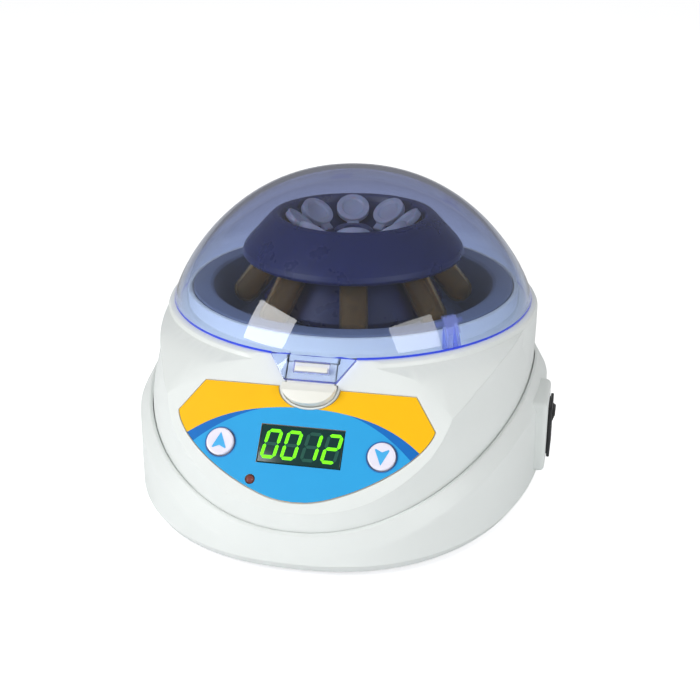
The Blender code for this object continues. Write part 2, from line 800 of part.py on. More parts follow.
def make_upper_housing():
    shell = upper_block("upper_housing", 0.0, skirt_bottom_z, parts)
    hollow = upper_block("hollow", housing_wall, -overrun, cutters)
    opening_radius = bowl_mouth_radius + bowl_wall + gap
    rim = bowl_flange_radius + gap
    inner = lip_radius - housing_wall + gap
    join(hollow, rod("mouth", (inner + lip_radius) / 2, (0, 0, split_side_z),
                     (0, 0, ledge_z + overrun), round_steps_share, None, cutters))
    cut(shell, hollow)
    shelf = bowl_top_z - bowl_flange_thickness - gap
    foot = ledge_z - housing_wall / 2
    lip = turned("lip", [
        (lip_radius, bowl_top_z - gap), (lip_radius, foot), (inner, foot),
        (inner, shelf - housing_wall), (opening_radius, shelf - housing_wall),
        (opening_radius, shelf), (rim, shelf), (rim, bowl_top_z - gap),
    ], round_steps_share, None, cutters)
    join(shell, lip)

    # The wall stands on the skirt's ledge along the smile line.
    far = skirt_reach + skirt_half_width
    foot_z = split_side_z - lap_height + lap_clear
    edge = sorted((x, z + lap_clear) for x, y, z in split_ring(0, lap_height) if y < 0)
    smile = [(-far, foot_z), *edge, (far, foot_z), (far, -far), (-far, -far)]
    front = outline("front", smile, 0, far, None, cutters)
    move_mesh(front, Matrix.Rotation(quarter_turn, 4, "X"))
    back = box("back", (-far, -overrun, -far), (far, far, foot_z), None, cutters)
    cut(shell, front, back)

    # Label recess, display window, lamp and button holes
    recess = outline("recess", label_points(gap), -label_recess, overrun, None, cutters)
    cut(shell, on_panel(recess))
    cut(shell, panel_box("display_hole", display_half + gap, display_v - display_height / 2 - gap,
                         display_v + display_height / 2 + gap, -housing_wall * 2, overrun,
                         None, cutters))
    for side in (-1, 1):
        cut(shell, panel_rod("button_hole", button_radius + gap, side * button_u, button_v,
                             -housing_wall * 2, overrun, small_steps_share, None, cutters))
    cut(shell, panel_rod("lamp_hole", led_radius + gap, led_u, led_v, -housing_wall * 2, overrun,
                         tiny_steps_share, None, cutters))

    # Window for the latch lever, its two slits and the ears that carry it
    deep = -pivot_depth - pivot_radius
    cut(shell, panel_box("lever_hole", lever_half + lever_slit, lever_top_v - lever_slit - gap,
                         pad_top_v + lever_slit, deep, overrun, None, cutters))
    for side in (-1, 1):
        cut(shell, panel_box("slit", slit_width / 2, slit_top_v, lever_top_v, deep / 2,
                             overrun * 2, None, cutters,
                             centre=side * (lever_half + slit_width / 2)))
    pad_hole = outline("pad_hole", pad_points(lever_slit, pad_swing), deep, overrun, None, cutters)
    cut(shell, on_panel(pad_hole))
    for side in (-1, 1):
        middle = side * (lever_half + lever_slit + ear_thickness / 2)
        ear = panel_box("ear", ear_thickness / 2, pivot_v - pivot_radius, pivot_v + pivot_radius,
                        -pivot_depth - pivot_radius, -housing_wall / 2, None, cutters,
                        centre=middle)
        join(shell, ear)
        reach = ear_thickness / 2 + overrun
        cut(shell, rod("pin_hole", latch_pin_radius + gap,
                       panel_point(middle - reach, pivot_v, -pivot_depth),
                       panel_point(middle + reach, pivot_v, -pivot_depth),
                       tiny_steps_share, None, cutters))

    # Posts for the control board, each with a stake through the board
    for across, down in board_spots:
        join(shell, panel_rod("post", post_radius, across, down, -board_depth + gap,
                              -housing_wall / 2, tiny_steps_share, None, cutters),
             panel_rod("stake", stake_radius, across, down,
                       -board_depth - board_thickness - stake_stand, -housing_wall,
                       tiny_steps_share, None, cutters))

    # Slot for the lid's prong
    azimuth = math.radians(prong_azimuth_deg)
    half = prong_spread + prong_wall / 2 + prong_play
    slot = box("prong_slot", (-half, -prong_outer - prong_play, shoulder_z),
               (half, -lip_radius - gap, ledge_z + overrun), None, cutters)
    cut(shell, move_mesh(slot, Matrix.Rotation(azimuth, 4, "Z")))

    # Hinge block at the back
    half = lug_centre + lug_half + gap + outer_ear
    root_y = collar_radius - 2 * housing_wall
    join(shell, box("hinge_block", (-half, root_y, bracket_bottom_z),
                    (half, hinge_back_y, hinge_z - hinge_eye_radius - gap), None, cutters))
    inner_end = lug_centre - lug_half - gap
    for low, high in ((-half, -half + outer_ear), (-inner_end, inner_end),
                      (half - outer_ear, half)):
        stem = box("stem", (low, hinge_y - hinge_eye_radius + gap, bracket_bottom_z + gap),
                   (high, hinge_back_y, hinge_z), None, cutters)
        eye = rod("eye", hinge_eye_radius, (low, hinge_y, hinge_z), (high, hinge_y, hinge_z),
                  small_steps_share, None, cutters)
        join(shell, stem, eye)
    cut(shell, rod("pin_hole", hinge_pin_radius + gap, (-half - overrun, hinge_y, hinge_z),
                   (half + overrun, hinge_y, hinge_z), tiny_steps_share, None, cutters))
    return smooth(place(shell, "upper_housing", parts, abs_white))


def split_ring(inset, drop):
    """A ring of points on the upper wall's plan, a given drop below the smile line."""
    ring = []
    for t in plan_angles():
        guess = upper_plan(t, split_side_z)
        z = split_height(guess.x, guess.y) - drop
        p = upper_plan(t, z, inset)
        z = split_height(p.x, p.y) - drop
        ring.append((p.x, p.y, z))
    return ring


def skirt_ring(inset, z=None, drop=0.0):
    """A ring of points on the skirt's plan, level or a given drop below the smile line."""
    ring = []
    for t in plan_angles():
        p = egg(skirt_half_width, skirt_reach, skirt_fullness_share, t, inset)
        height = split_height(p.x, p.y) - drop if z is None else z
        ring.append((p.x, p.y, height))
    return ring


def make_lower_housing():
    skirt = loft("lower_housing", [
        split_ring(-gap, 0),
        split_ring(-gap - skirt_round, skirt_round / 2),
        skirt_ring(gap, drop=crease_drop),
        skirt_ring(0, z=skirt_bulge_z),
        skirt_ring(skirt_tuck, z=skirt_bottom_z),
        skirt_ring(skirt_tuck + skirt_wall - gap, z=skirt_bottom_z),
        skirt_ring(skirt_tuck + skirt_wall - gap, z=skirt_bulge_z),
        skirt_ring(skirt_wall + gap, drop=crease_drop + gap),
        split_ring(housing_wall + gap, lap_height + skirt_round),
        split_ring(housing_wall + gap, lap_height),
        split_ring(-gap, lap_height),
    ], ring_shut=True)

    # Raised pads for the switch and the inlet
    low_x = upper_waist_half_width - skirt_wall
    pad = rounded_block("pad", (low_x, switch_y - switch_pad_half_y, switch_z - switch_pad_half_z),
                        (switch_pad_x, switch_y + switch_pad_half_y,
                         switch_z + switch_pad_half_z), pad_round)
    join(skirt, pad)
    rear = rounded_block("rear", (-inlet_pad_half_x, low_x, inlet_z - inlet_pad_half_z),
                         (inlet_pad_half_x, inlet_pad_y, inlet_z + inlet_pad_half_z), pad_round)
    join(skirt, rear)
    for spot in boss_spots:
        join(skirt, rod("boss", boss_radius, (spot.x, spot.y, base_top_z + gap),
                        (spot.x, spot.y, boss_top_z), tiny_steps_share, None, cutters))
        cut(skirt, rod("boss_hole", base_screw_radius + gap, (spot.x, spot.y, 0),
                       (spot.x, spot.y, base_plate_z + base_screw_length + gap),
                       tiny_steps_share, None, cutters))
    clear_y, clear_z = switch_body_half_y + gap, switch_body_half_z + gap
    cut(skirt, box("switch_hole", (low_x - overrun, switch_y - clear_y, switch_z - clear_z),
                   (switch_pad_x + overrun, switch_y + clear_y, switch_z + clear_z), None,
                   cutters))
    clear_x, clear_z = inlet_body_half_x + gap, inlet_body_half_z + gap
    cut(skirt, box("inlet_hole", (-clear_x, low_x - overrun, inlet_z - clear_z),
                   (clear_x, inlet_pad_y + overrun, inlet_z + clear_z), None, cutters))
    return smooth(place(skirt, "lower_housing", parts, abs_white))


def rounded_block(name, low, high, radius):
    block = box(name, low, high, None, cutters)
    bevel = block.modifiers.new("round", "BEVEL")
    bevel.width = radius
    bevel.segments = 2
    return apply_all(block)


def make_base():
    rings = []
    for z in (base_plate_z, base_top_z):
        inset = skirt_tuck + skirt_wall
        points = [egg(skirt_half_width, skirt_reach, skirt_fullness_share, t, inset)
                  for t in plan_angles()]
        rings.append([(p.x, p.y, z) for p in points])
    plate = loft("base_plate", rings)
    for spot in post_spots:
        join(plate, rod("post", motor_post_radius, (spot.x, spot.y, base_top_z - gap),
                        (spot.x, spot.y, post_top_z), tiny_steps_share, None, cutters),
             rod("pin", mount_pin_radius, (spot.x, spot.y, post_top_z - gap),
                 (spot.x, spot.y, mount_top_z), tiny_steps_share, None, cutters))
    for spot in supply_spots:
        stand_z = base_top_z + supply_stand
        join(plate, rod("stand", post_radius, (spot.x, spot.y, base_top_z - gap),
                        (spot.x, spot.y, stand_z), tiny_steps_share, None, cutters),
             rod("stake", stake_radius, (spot.x, spot.y, stand_z - gap),
                 (spot.x, spot.y, stand_z + board_thickness + gap + stake_stand),
                 tiny_steps_share, None, cutters))
    for spot in boss_spots:
        cut(plate, rod("screw_hole", base_screw_radius + gap, (spot.x, spot.y, 0),
                       (spot.x, spot.y, base_top_z + overrun), tiny_steps_share, None, cutters))
    for spot in foot_spots:
        cut(plate, rod("foot_hole", foot_stem_radius + gap, (spot.x, spot.y, 0),
                       (spot.x, spot.y, base_top_z + overrun), tiny_steps_share, None, cutters))
    smooth(place(plate, "base_plate", parts, abs_grey))

    knob_z = base_top_z + gap
    for number, spot in enumerate(foot_spots, 1):
        foot = turned(f"rubber_foot_{number}", [
            (0, knob_z + foot_stem_height), (foot_stem_radius, knob_z + foot_stem_height),
            (foot_knob_radius, knob_z), (foot_stem_radius, knob_z),
            (foot_stem_radius, foot_height), (foot_radius, foot_height),
            (foot_radius - foot_height / 4, 0), (0, 0),
        ], small_steps_share, rubber)
        smooth(move_mesh(foot, Matrix.Translation((spot.x, spot.y, 0))))

    for number, spot in enumerate(boss_spots, 1):
        pan_screw(f"base_screw_{number}", base_screw_radius, base_head_radius, base_head_height,
                  base_screw_length, (spot.x, spot.y, base_plate_z - gap), (0, 0, 1))


def make_bowl():
    top = bowl_top_z
    lower = top - bowl_flange_thickness
    outer = bowl_mouth_radius + bowl_wall
    edge = bowl_wall * 0.9
    turned("chamber_bowl", [
        (bowl_flange_radius, top), (bowl_flange_radius, lower), (outer, lower),
        (outer - gap / 2, lower - bowl_wall),
        (bowl_floor_radius + bowl_wall, bowl_floor_z + bowl_wall / 2),
        (bowl_floor_radius, bowl_floor_z - bowl_wall),
        (bowl_boss_radius, bowl_floor_z - bowl_wall),
        (bowl_boss_radius, bowl_floor_z + bowl_boss_height),
        (bowl_boss_radius + bowl_wall, bowl_floor_z + bowl_boss_height),
        (bowl_boss_radius + bowl_wall, bowl_floor_z), (bowl_floor_radius - edge, bowl_floor_z),
        (bowl_floor_radius, bowl_floor_z + edge), (bowl_mouth_radius, lower),
        (bowl_mouth_radius + edge / 3, top - edge / 3), (bowl_mouth_radius + edge, top),
    ], round_steps_share, abs_grey)
    smooth(bpy.data.objects["chamber_bowl"])


def lid_profile(inset):
    """The dome's outline from its crown to its rim: a superellipse, inset by a wall."""
    points = []
    for i in range(lid_rings_share + 1):
        t = quarter_turn * (1 - i / lid_rings_share)
        points.append(((lid_radius - inset) * math.cos(t) ** lid_width_power_share,
                       lid_rim_z + (lid_height - inset) * math.sin(t) ** lid_height_power_share))
    points[0] = (0, points[0][1])
    points[-1] = (lid_radius - inset, lid_rim_z)
    return points


def dome_radius(z, inset):
    """Radius of the dome at a height, inset by part of its wall."""
    rise = min((z - lid_rim_z) / (lid_height - inset), 1.0) ** (1 / lid_height_power_share)
    return (lid_radius - inset) * math.sqrt(1 - rise * rise) ** lid_width_power_share


def make_lid():
    outer = lid_profile(0)
    inner = lid_profile(lid_wall)
    dome = turned("lid_dome", outer + inner[::-1], plan_steps_share, clear_blue)

    # Tab with the catch window, parallel to the panel
    points = [(-tab_top_half, tab_top_v + lid_wall), (-tab_bottom_half, tab_bottom_v),
              (tab_bottom_half, tab_bottom_v), (tab_top_half, tab_top_v + lid_wall),
              (tab_bottom_half, tab_top_v), (-tab_bottom_half, tab_top_v)]
    tab = outline("tab", points[::-1], gap, gap + tab_thickness, None, cutters)
    join(dome, on_panel(tab))
    cut(dome, panel_box("slot", slot_half, slot_top_v, slot_bottom_v, -overrun,
                        tab_thickness + overrun, None, cutters))

    # Pair of ribs that work the lid switch
    stand = Matrix(((0, 0, 1, 0), (-1, 0, 0, 0), (0, 1, 0, 0), (0, 0, 0, 1)))
    facing = Matrix.Rotation(math.radians(prong_azimuth_deg), 4, "Z") @ stand
    mid_z = (lid_rim_z + prong_top_z) / 2
    shape = [(prong_inner, prong_foot_z), (prong_outer, prong_foot_z),
             (prong_outer, lid_rim_z), (lid_radius - lid_wall / 2, lid_rim_z + gap),
             (dome_radius(mid_z, lid_wall / 2), mid_z),
             (dome_radius(prong_top_z, lid_wall / 2), prong_top_z)]
    for side in (-1, 1):
        centre = side * prong_spread
        rib = outline("rib", shape, centre - prong_wall / 2, centre + prong_wall / 2, None,
                      cutters)
        join(dome, face_outward(move_mesh(rib, facing)))

    # Hinge lugs
    for side in (-1, 1):
        low, high = side * lug_centre - lug_half, side * lug_centre + lug_half
        eye = rod("eye", hinge_eye_radius, (low, hinge_y, hinge_z), (high, hinge_y, hinge_z),
                  small_steps_share, None, cutters)
        arm_low = lid_rim_z
        arm = box("arm", (low, math.sqrt(lid_radius ** 2 - high ** 2) - lid_wall, arm_low),
                  (high, hinge_y, hinge_z + hinge_eye_radius), None, cutters)
        join(dome, arm, eye)
        cut(dome, rod("pin_hole", hinge_pin_radius + gap, (low - overrun, hinge_y, hinge_z),
                      (high + overrun, hinge_y, hinge_z), tiny_steps_share, None, cutters))
    smooth(place(dome, "lid_dome", parts, clear_blue))
    set_origin(dome, (0, hinge_y, hinge_z))


def make_hinge_pin():
    half = lug_centre + lug_half + gap + outer_ear
    smooth(rod("hinge_pin", hinge_pin_radius, (-half, hinge_y, hinge_z), (half, hinge_y, hinge_z),
               tiny_steps_share, steel))


def make_latch():
    low = -lever_thickness
    lever = panel_box("latch_lever", lever_half, lever_top_v, pad_top_v + overrun, low, 0,
                      abs_warm)
    pad = outline("pad", pad_points(), low + gap, pad_height, None, cutters)
    scoop_down = pad_top_v - pad_scoop_radius * 0.35
    on_panel(pad)
    scoop = rod("scoop", pad_scoop_radius,
                panel_point(-2 * pad_half, scoop_down,
                            pad_height + pad_scoop_radius - pad_scoop_depth),
                panel_point(2 * pad_half, scoop_down,
                            pad_height + pad_scoop_radius - pad_scoop_depth),
                round_steps_share, None, cutters)
    cut(pad, scoop)
    join(lever, pad)
    nose = side_plate("nose", [
        (nose_top_v, low / 2), (nose_top_v, nose_height - gap), (nose_bottom_v, nose_height),
        (nose_bottom_v, low / 2),
    ], nose_half)
    under = -housing_wall - 2 * gap
    link_v = pad_bottom_v - pad_height
    arm = side_plate("arm", [
        (link_v, low / 2), (link_v, -pivot_depth), (pivot_v, -pivot_depth - pivot_radius / 2),
        (pivot_v, -pivot_depth + pivot_radius / 2), (pad_bottom_v, under),
        (pad_bottom_v - pad_height / 2, under), (pad_bottom_v - pad_height / 2, low / 2),
    ], nose_half)
    barrel = rod("barrel", pivot_radius, panel_point(-lever_half, pivot_v, -pivot_depth),
                 panel_point(lever_half, pivot_v, -pivot_depth), small_steps_share, None, cutters)
    join(lever, nose, arm, barrel)
    cut(lever, rod("pin_hole", latch_pin_radius + gap,
                   panel_point(-lever_half - overrun, pivot_v, -pivot_depth),
                   panel_point(lever_half + overrun, pivot_v, -pivot_depth),
                   tiny_steps_share, None, cutters))
    smooth(place(lever, "latch_lever", parts, abs_warm))
    set_origin(lever, panel_point(0, pivot_v, -pivot_depth))
    half = lever_half + lever_slit + ear_thickness
    smooth(rod("latch_pin", latch_pin_radius, panel_point(-half, pivot_v, -pivot_depth),
               panel_point(half, pivot_v, -pivot_depth), tiny_steps_share, steel))
    place(bpy.data.objects["latch_pin"], "latch_pin", parts, steel)


def make_panel():
    under = -label_recess + gap
    label = outline("control_label", label_points(0), under, under + label_thickness,
                    printed_film)
    on_panel(label)
    cut(label, panel_box("display_hole", display_half + gap,
                         display_v - display_height / 2 - gap,
                         display_v + display_height / 2 + gap, -overrun, overrun, None, cutters))
    for side in (-1, 1):
        cut(label, panel_rod("button_hole", button_radius + gap, side * button_u, button_v,
                             -overrun, overrun, small_steps_share, None, cutters))
    cut(label, panel_rod("lamp_hole", led_radius + gap, led_u, led_v, -overrun, overrun,
                         tiny_steps_share, None, cutters))
    place(label, "control_label", parts, printed_film)

    top, bottom = display_v - display_height / 2, display_v + display_height / 2
    front = under + label_thickness
    panel_box("display_window", display_half, top, bottom, front - window_thickness, front,
              clear_dark)
    module_front = front - window_thickness - gap
    panel_box("display_module", display_half, top, bottom, -board_depth + gap, module_front,
              abs_black)
    board_low = -board_depth - board_thickness
    board = panel_box("control_board", board_half, board_top_v, board_bottom_v, board_low,
                      -board_depth)
    for across, down in board_spots:
        cut(board, panel_rod("hole", stake_radius + gap, across, down, board_low - overrun,
                             overrun, tiny_steps_share, None, cutters))
    switch_top = -board_depth + tact_height
    plunger_top = switch_top + 2 * gap
    for side in (-1, 1):
        join(board, panel_box("tact", tact_size / 2, button_v - tact_size / 2,
                              button_v + tact_size / 2, -board_depth - gap, switch_top, None,
                              cutters, centre=side * button_u),
             panel_rod("plunger", button_stem_radius, side * button_u, button_v,
                       switch_top - gap, plunger_top, tiny_steps_share, None, cutters))
    place(board, "control_board", parts, board_green)
    collar_top = -housing_wall - 2 * gap
    smooth(panel_turned("status_lamp", led_u, led_v, [
        (0, front + led_radius / 2), (led_radius * 0.6, front + led_radius / 3),
        (led_radius, front - gap), (led_radius, collar_top), (led_radius * 1.3, collar_top),
        (led_radius * 1.3, gap - board_depth), (0, gap - board_depth),
    ], small_steps_share, lamp_red))

    for side, name in ((-1, "up_button"), (1, "down_button")):
        across = side * button_u
        cap_top = front + button_stand
        flange_top = -housing_wall - gap
        flange_low = flange_top - button_flange_thickness
        stem_low = plunger_top + button_travel + button_free_play
        wide = button_radius + button_flange
        cap = panel_turned(name, across, button_v, [
            (0, cap_top), (button_radius - gap, cap_top), (button_radius, cap_top - gap),
            (button_radius, flange_top), (wide, flange_top), (wide, flange_low),
            (button_stem_radius, flange_low), (button_stem_radius, stem_low), (0, stem_low),
        ], round_steps_share // 2, button_white)
        smooth(cap)
        set_origin(cap, panel_point(across, button_v, cap_top))


def make_interlock_switch():
    top = prong_foot_z - 2 * gap
    middle = micro_width / 2 + 2 * gap + housing_wall - collar_radius
    body = box("interlock_switch", (-micro_length / 2, middle - micro_width / 2,
                                    top - micro_height),
               (micro_length / 2, middle + micro_width / 2, top), abs_black)
    body.data.transform(Matrix.Rotation(math.radians(prong_azimuth_deg), 4, "Z"))


def make_switch():
    body_x = switch_pad_x + gap
    body = box("switch_body", (body_x, switch_y - switch_flange_half_y,
                               switch_z - switch_flange_half_z),
               (switch_face_x, switch_y + switch_flange_half_y, switch_z + switch_flange_half_z),
               abs_black)
    trunk = box("trunk", (body_x - switch_body_depth, switch_y - switch_body_half_y,
                          switch_z - switch_body_half_z),
                (body_x + switch_flange_thickness / 2, switch_y + switch_body_half_y,
                 switch_z + switch_body_half_z), None, cutters)
    join(body, trunk)
    cut(body, box("pocket", (switch_face_x - switch_pocket_depth,
                             switch_y - switch_pocket_half_y, switch_z - switch_pocket_half_z),
                  (switch_face_x + overrun, switch_y + switch_pocket_half_y,
                   switch_z + switch_pocket_half_z), None, cutters))
    place(body, "switch_body", parts, abs_black)

    points = [(-rocker_back, -rocker_half_z * 0.7), (rocker_face * 0.6, -rocker_half_z),
              (rocker_face, -rocker_half_z * 0.93), (rocker_face - rocker_hollow,
                                                    -rocker_half_z * 0.45),
              (rocker_face - rocker_hollow * 0.6, 0),
              (rocker_face - rocker_hollow, rocker_half_z * 0.45),
              (rocker_face, rocker_half_z * 0.93), (rocker_face * 0.6, rocker_half_z),
              (-rocker_back, rocker_half_z * 0.7)]
    rocker = outline("power_rocker", points, -rocker_half_y, rocker_half_y, abs_black)
    stand = Matrix(((1, 0, 0, 0), (0, 0, -1, 0), (0, 1, 0, 0), (0, 0, 0, 1)))
    rocker.data.transform(stand)
    rocker.data.transform(Matrix.Rotation(rocker_tilt, 4, "Y"))
    rocker.location = (rocker_x, switch_y, switch_z)


def make_inlet():
    face_y = inlet_pad_y + gap + inlet_flange_thickness
    back_y = inlet_pad_y + gap
    body = box("power_inlet", (-inlet_flange_half_x, back_y, inlet_z - inlet_flange_half_z),
               (inlet_flange_half_x, face_y, inlet_z + inlet_flange_half_z), abs_black)
    trunk = box("trunk", (-inlet_body_half_x, back_y - inlet_body_depth,
                          inlet_z - inlet_body_half_z),
                (inlet_body_half_x, back_y + gap, inlet_z + inlet_body_half_z), None, cutters)
    join(body, trunk)
    floor_y = back_y - inlet_body_depth + inlet_wall
    half_x, half_z = inlet_body_half_x - inlet_wall, inlet_body_half_z - inlet_wall
    cut(body, box("socket", (-half_x, floor_y, inlet_z - half_z),
                  (half_x, face_y + overrun, inlet_z + half_z), None, cutters))
    for x, z in ((-1, -1), (0, 1), (1, -1)):
        centre_x, centre_z = x * inlet_pin_spread, inlet_z + z * inlet_pin_drop
        join(body, box("pin", (centre_x - inlet_pin_half_x, floor_y - gap,
                               centre_z - inlet_pin_half_z),
                       (centre_x + inlet_pin_half_x, floor_y + inlet_pin_length,
                        centre_z + inlet_pin_half_z), None, cutters))
    place(body, "power_inlet", parts, abs_black)


def make_supply():
    low = base_top_z + supply_stand + gap
    high = low + board_thickness
    board = box("supply_board", (-supply_half_x, supply_front_y, low),
                (supply_half_x, supply_back_y, high))
    for spot in supply_spots:
        cut(board, rod("hole", stake_radius + gap, (spot.x, spot.y, low - overrun),
                       (spot.x, spot.y, high + overrun), tiny_steps_share, None, cutters))
    place(board, "supply_board", parts, board_green)
    core_low = high + gap
    core = box("transformer_core", (-transformer_half_x, transformer_y - transformer_half_y,
                                    core_low),
               (transformer_half_x, transformer_y + transformer_half_y,
                core_low + transformer_height), zinc)
    window = transformer_height / 4
    middle = core_low + transformer_height / 2
    for side in (-1, 1):
        x = side * (winding_half_x + gap) / 2 + side * transformer_half_x * 0.17
        cut(core, box("window", (x - winding_half_x * 0.32, transformer_y - 2 * transformer_half_y,
                                 middle - window),
                      (x + winding_half_x * 0.32, transformer_y + 2 * transformer_half_y,
                       middle + window), None, cutters))
    place(core, "transformer_core", parts, zinc)


def make_motor():
    top, low = motor_top_z, motor_bottom_z
    seat = bearing_radius + gap
    hole = shaft_radius + gap
    seat_top = low + motor_wall + gap + bearing_height
    turned("motor_can", [
        (motor_radius, top), (motor_radius, low), (hole, low), (hole, low + motor_wall),
        (seat, low + motor_wall), (seat, seat_top), (seat + bearing_seat, seat_top),
        (seat + bearing_seat, low + motor_wall), (motor_radius - motor_wall, low + motor_wall),
        (motor_radius - motor_wall, top),
    ], round_steps_share // 2, steel)
    smooth(bpy.data.objects["motor_can"])
    cap_low, cap_high = end_cap_z, end_cap_z + end_cap_thickness
    seat_low = cap_low - bearing_height - gap
    cap = turned("motor_end_cap", [
        (motor_radius, cap_high), (motor_radius, cap_low), (seat + bearing_seat, cap_low),
        (seat + bearing_seat, seat_low), (seat, seat_low), (seat, cap_low), (hole, cap_low),
        (hole, cap_high),
    ], round_steps_share // 2, zinc)
    for i in range(2):
        t = half_turn * i + quarter_turn / 2
        x, y = motor_screw_ring * math.cos(t), motor_screw_ring * math.sin(t)
        cut(cap, rod("hole", small_screw_radius + gap, (x, y, cap_low - overrun),
                     (x, y, cap_high + overrun), tiny_steps_share, None, cutters))
        pan_screw(f"motor_screw_{i + 1}", small_screw_radius, small_head_radius,
                  small_head_height, small_screw_length, (x, y, motor_plate_top_z + gap),
                  (0, 0, -1))
    smooth(place(cap, "motor_end_cap", parts, zinc))
    for name, z in (("lower_bearing", low + motor_wall + gap),
                    ("upper_bearing", cap_low - gap - bearing_height)):
        turned(name, [(bearing_radius, z + bearing_height), (bearing_radius, z), (hole, z),
                      (hole, z + bearing_height)], small_steps_share, steel)
        smooth(bpy.data.objects[name])
    smooth(turned("motor_armature", [
        (armature_radius, armature_high_z), (armature_radius, armature_low_z),
        (hole, armature_low_z), (hole, armature_high_z),
    ], round_steps_share // 2, copper))
    smooth(turned("motor_shaft", [
        (0, shaft_top_z), (shaft_radius - gap, shaft_top_z),
        (shaft_radius, shaft_top_z - gap), (shaft_radius, low + motor_wall), (0, low + motor_wall),
    ], small_steps_share, steel))

    plate = turned("motor_plate", [
        (motor_plate_radius, motor_plate_top_z), (motor_plate_radius, motor_plate_z),
        (bearing_radius, motor_plate_z), (bearing_radius, motor_plate_top_z),
    ], round_steps_share // 2, zinc)
    for i in range(2):
        t = half_turn * i + quarter_turn / 2
        x, y = motor_screw_ring * math.cos(t), motor_screw_ring * math.sin(t)
        cut(plate, rod("hole", small_screw_radius + gap, (x, y, motor_plate_z - overrun),
                       (x, y, motor_plate_top_z + overrun), tiny_steps_share, None, cutters))
    bore = mount_pin_radius + gap
    for number, spot in enumerate(post_spots, 1):
        cut(plate, rod("hole", mount_neck_radius + gap,
                       (spot.x, spot.y, motor_plate_z - overrun),
                       (spot.x, spot.y, motor_plate_top_z + overrun), tiny_steps_share, None,
                       cutters))
        mount = turned(f"rubber_mount_{number}", [
            (mount_radius, motor_plate_z - gap), (mount_radius, post_top_z + gap),
            (bore, post_top_z + gap), (bore, mount_top_z), (mount_head_radius, mount_top_z),
            (mount_head_radius, motor_plate_top_z + gap), (mount_neck_radius,
                                                           motor_plate_top_z + gap),
            (mount_neck_radius, motor_plate_z - gap),
        ], small_steps_share, rubber)
        smooth(move_mesh(mount, Matrix.Translation((spot.x, spot.y, 0))))
    smooth(place(plate, "motor_plate", parts, zinc))


def along_tube(reach, out=0.0):
    """A point in the rotor's section, up the tube's axis from the centre of its round end."""
    r = tube_tip_r - reach * math.sin(tube_angle) + out * math.cos(tube_angle)
    z = tube_tip_z + reach * math.cos(tube_angle) + out * math.sin(tube_angle)
    return r, z


def make_rotor():
    # The seat is a cone square to the tubes.
    rise = math.tan(tube_angle)
    seat_r, seat_z = along_tube(rotor_seat_reach)

    def seat(r, drop=0.0):
        return seat_z + (r - seat_r) * rise - drop

    bore = shaft_radius + gap
    dish_r = rotor_hub_radius + rotor_wall * 0.8
    wall_drop = rotor_wall / math.cos(tube_angle)
    across = tube_radius / math.cos(tube_angle) + rotor_cone_clear

    def cone(z):
        return tube_tip_r - across - (z - tube_tip_z) * rise

    knee_z = (seat_z - wall_drop + rise * (tube_tip_r - across + tube_tip_z * rise - seat_r)) / (
        1 + rise * rise)
    edge = rotor_edge_radius
    skirt = rotor_skirt_radius
    lip = rotor_wall * 0.55
    low = rotor_cone_bottom_z
    cone_low = tube_tip_z - rotor_wall * 0.6
    bell = turned("rotor_body", [
        (bore, rotor_hub_z), (rotor_hub_radius, rotor_hub_z),
        (rotor_hub_radius, seat(dish_r)), (dish_r, seat(dish_r)),
        (edge - lip * 0.9, seat(edge - lip * 0.9)), (edge - lip * 0.4, rotor_edge_z - lip * 0.4),
        (edge + lip * 0.4, rotor_edge_z), (edge + lip * 1.5, rotor_edge_z - lip * 0.35),
        (edge + lip * 2.7, rotor_edge_z - lip * 1.4),
        (skirt - lip * 1.5, rotor_skirt_z + lip * 3.6), (skirt - lip * 0.4, rotor_skirt_z + lip * 2.1),
        (skirt, rotor_skirt_z + lip), (skirt - lip * 0.3, rotor_skirt_z + lip * 0.25),
        (skirt - lip, rotor_skirt_z), (skirt - lip * 2.1, rotor_skirt_z + lip * 0.6),
        (edge + lip * 1.1, seat(edge) - wall_drop + rotor_wall * 0.2),
        (edge, seat(edge) - wall_drop), (cone(knee_z), knee_z),
        (cone(cone_low), cone_low), (cone(cone_low) - lip, low), (cone(cone_low) - 2 * lip, low),
        (cone(cone_low) - 2 * lip, low + lip), (rotor_hub_radius, seat(dish_r) - wall_drop * 2),
        (rotor_hub_radius, low + lip), (bore, low + lip),
    ][::-1], round_steps_share, abs_navy)
    for i in range(rotor_places):
        angle = tube_turn(i)
        low_r, low_z = along_tube(-tube_radius)
        top_r, top_z = along_tube(tube_reach * 1.3)
        hole = rod("tube_hole", tube_radius + gap, (0, -low_r, low_z), (0, -top_r, top_z),
                   small_steps_share, None, cutters)
        hole.data.transform(Matrix.Rotation(angle, 4, "Z"))
        cut(bell, hole)
    smooth(place(bell, "rotor_body", parts, abs_navy))
    nut_low = rotor_hub_z + gap
    smooth(turned("rotor_nut", [
        (bore, nut_low + nut_height), (nut_radius - 2 * gap, nut_low + nut_height),
        (nut_radius, nut_low + nut_height - 2 * gap), (nut_radius, nut_low), (bore, nut_low),
    ], small_steps_share, abs_navy))


def tube_turn(index):
    """Angle of a rotor place from the front; place 0 faces the camera's side of the front."""
    return turn * index / rotor_places + math.radians(front_tube_deg)


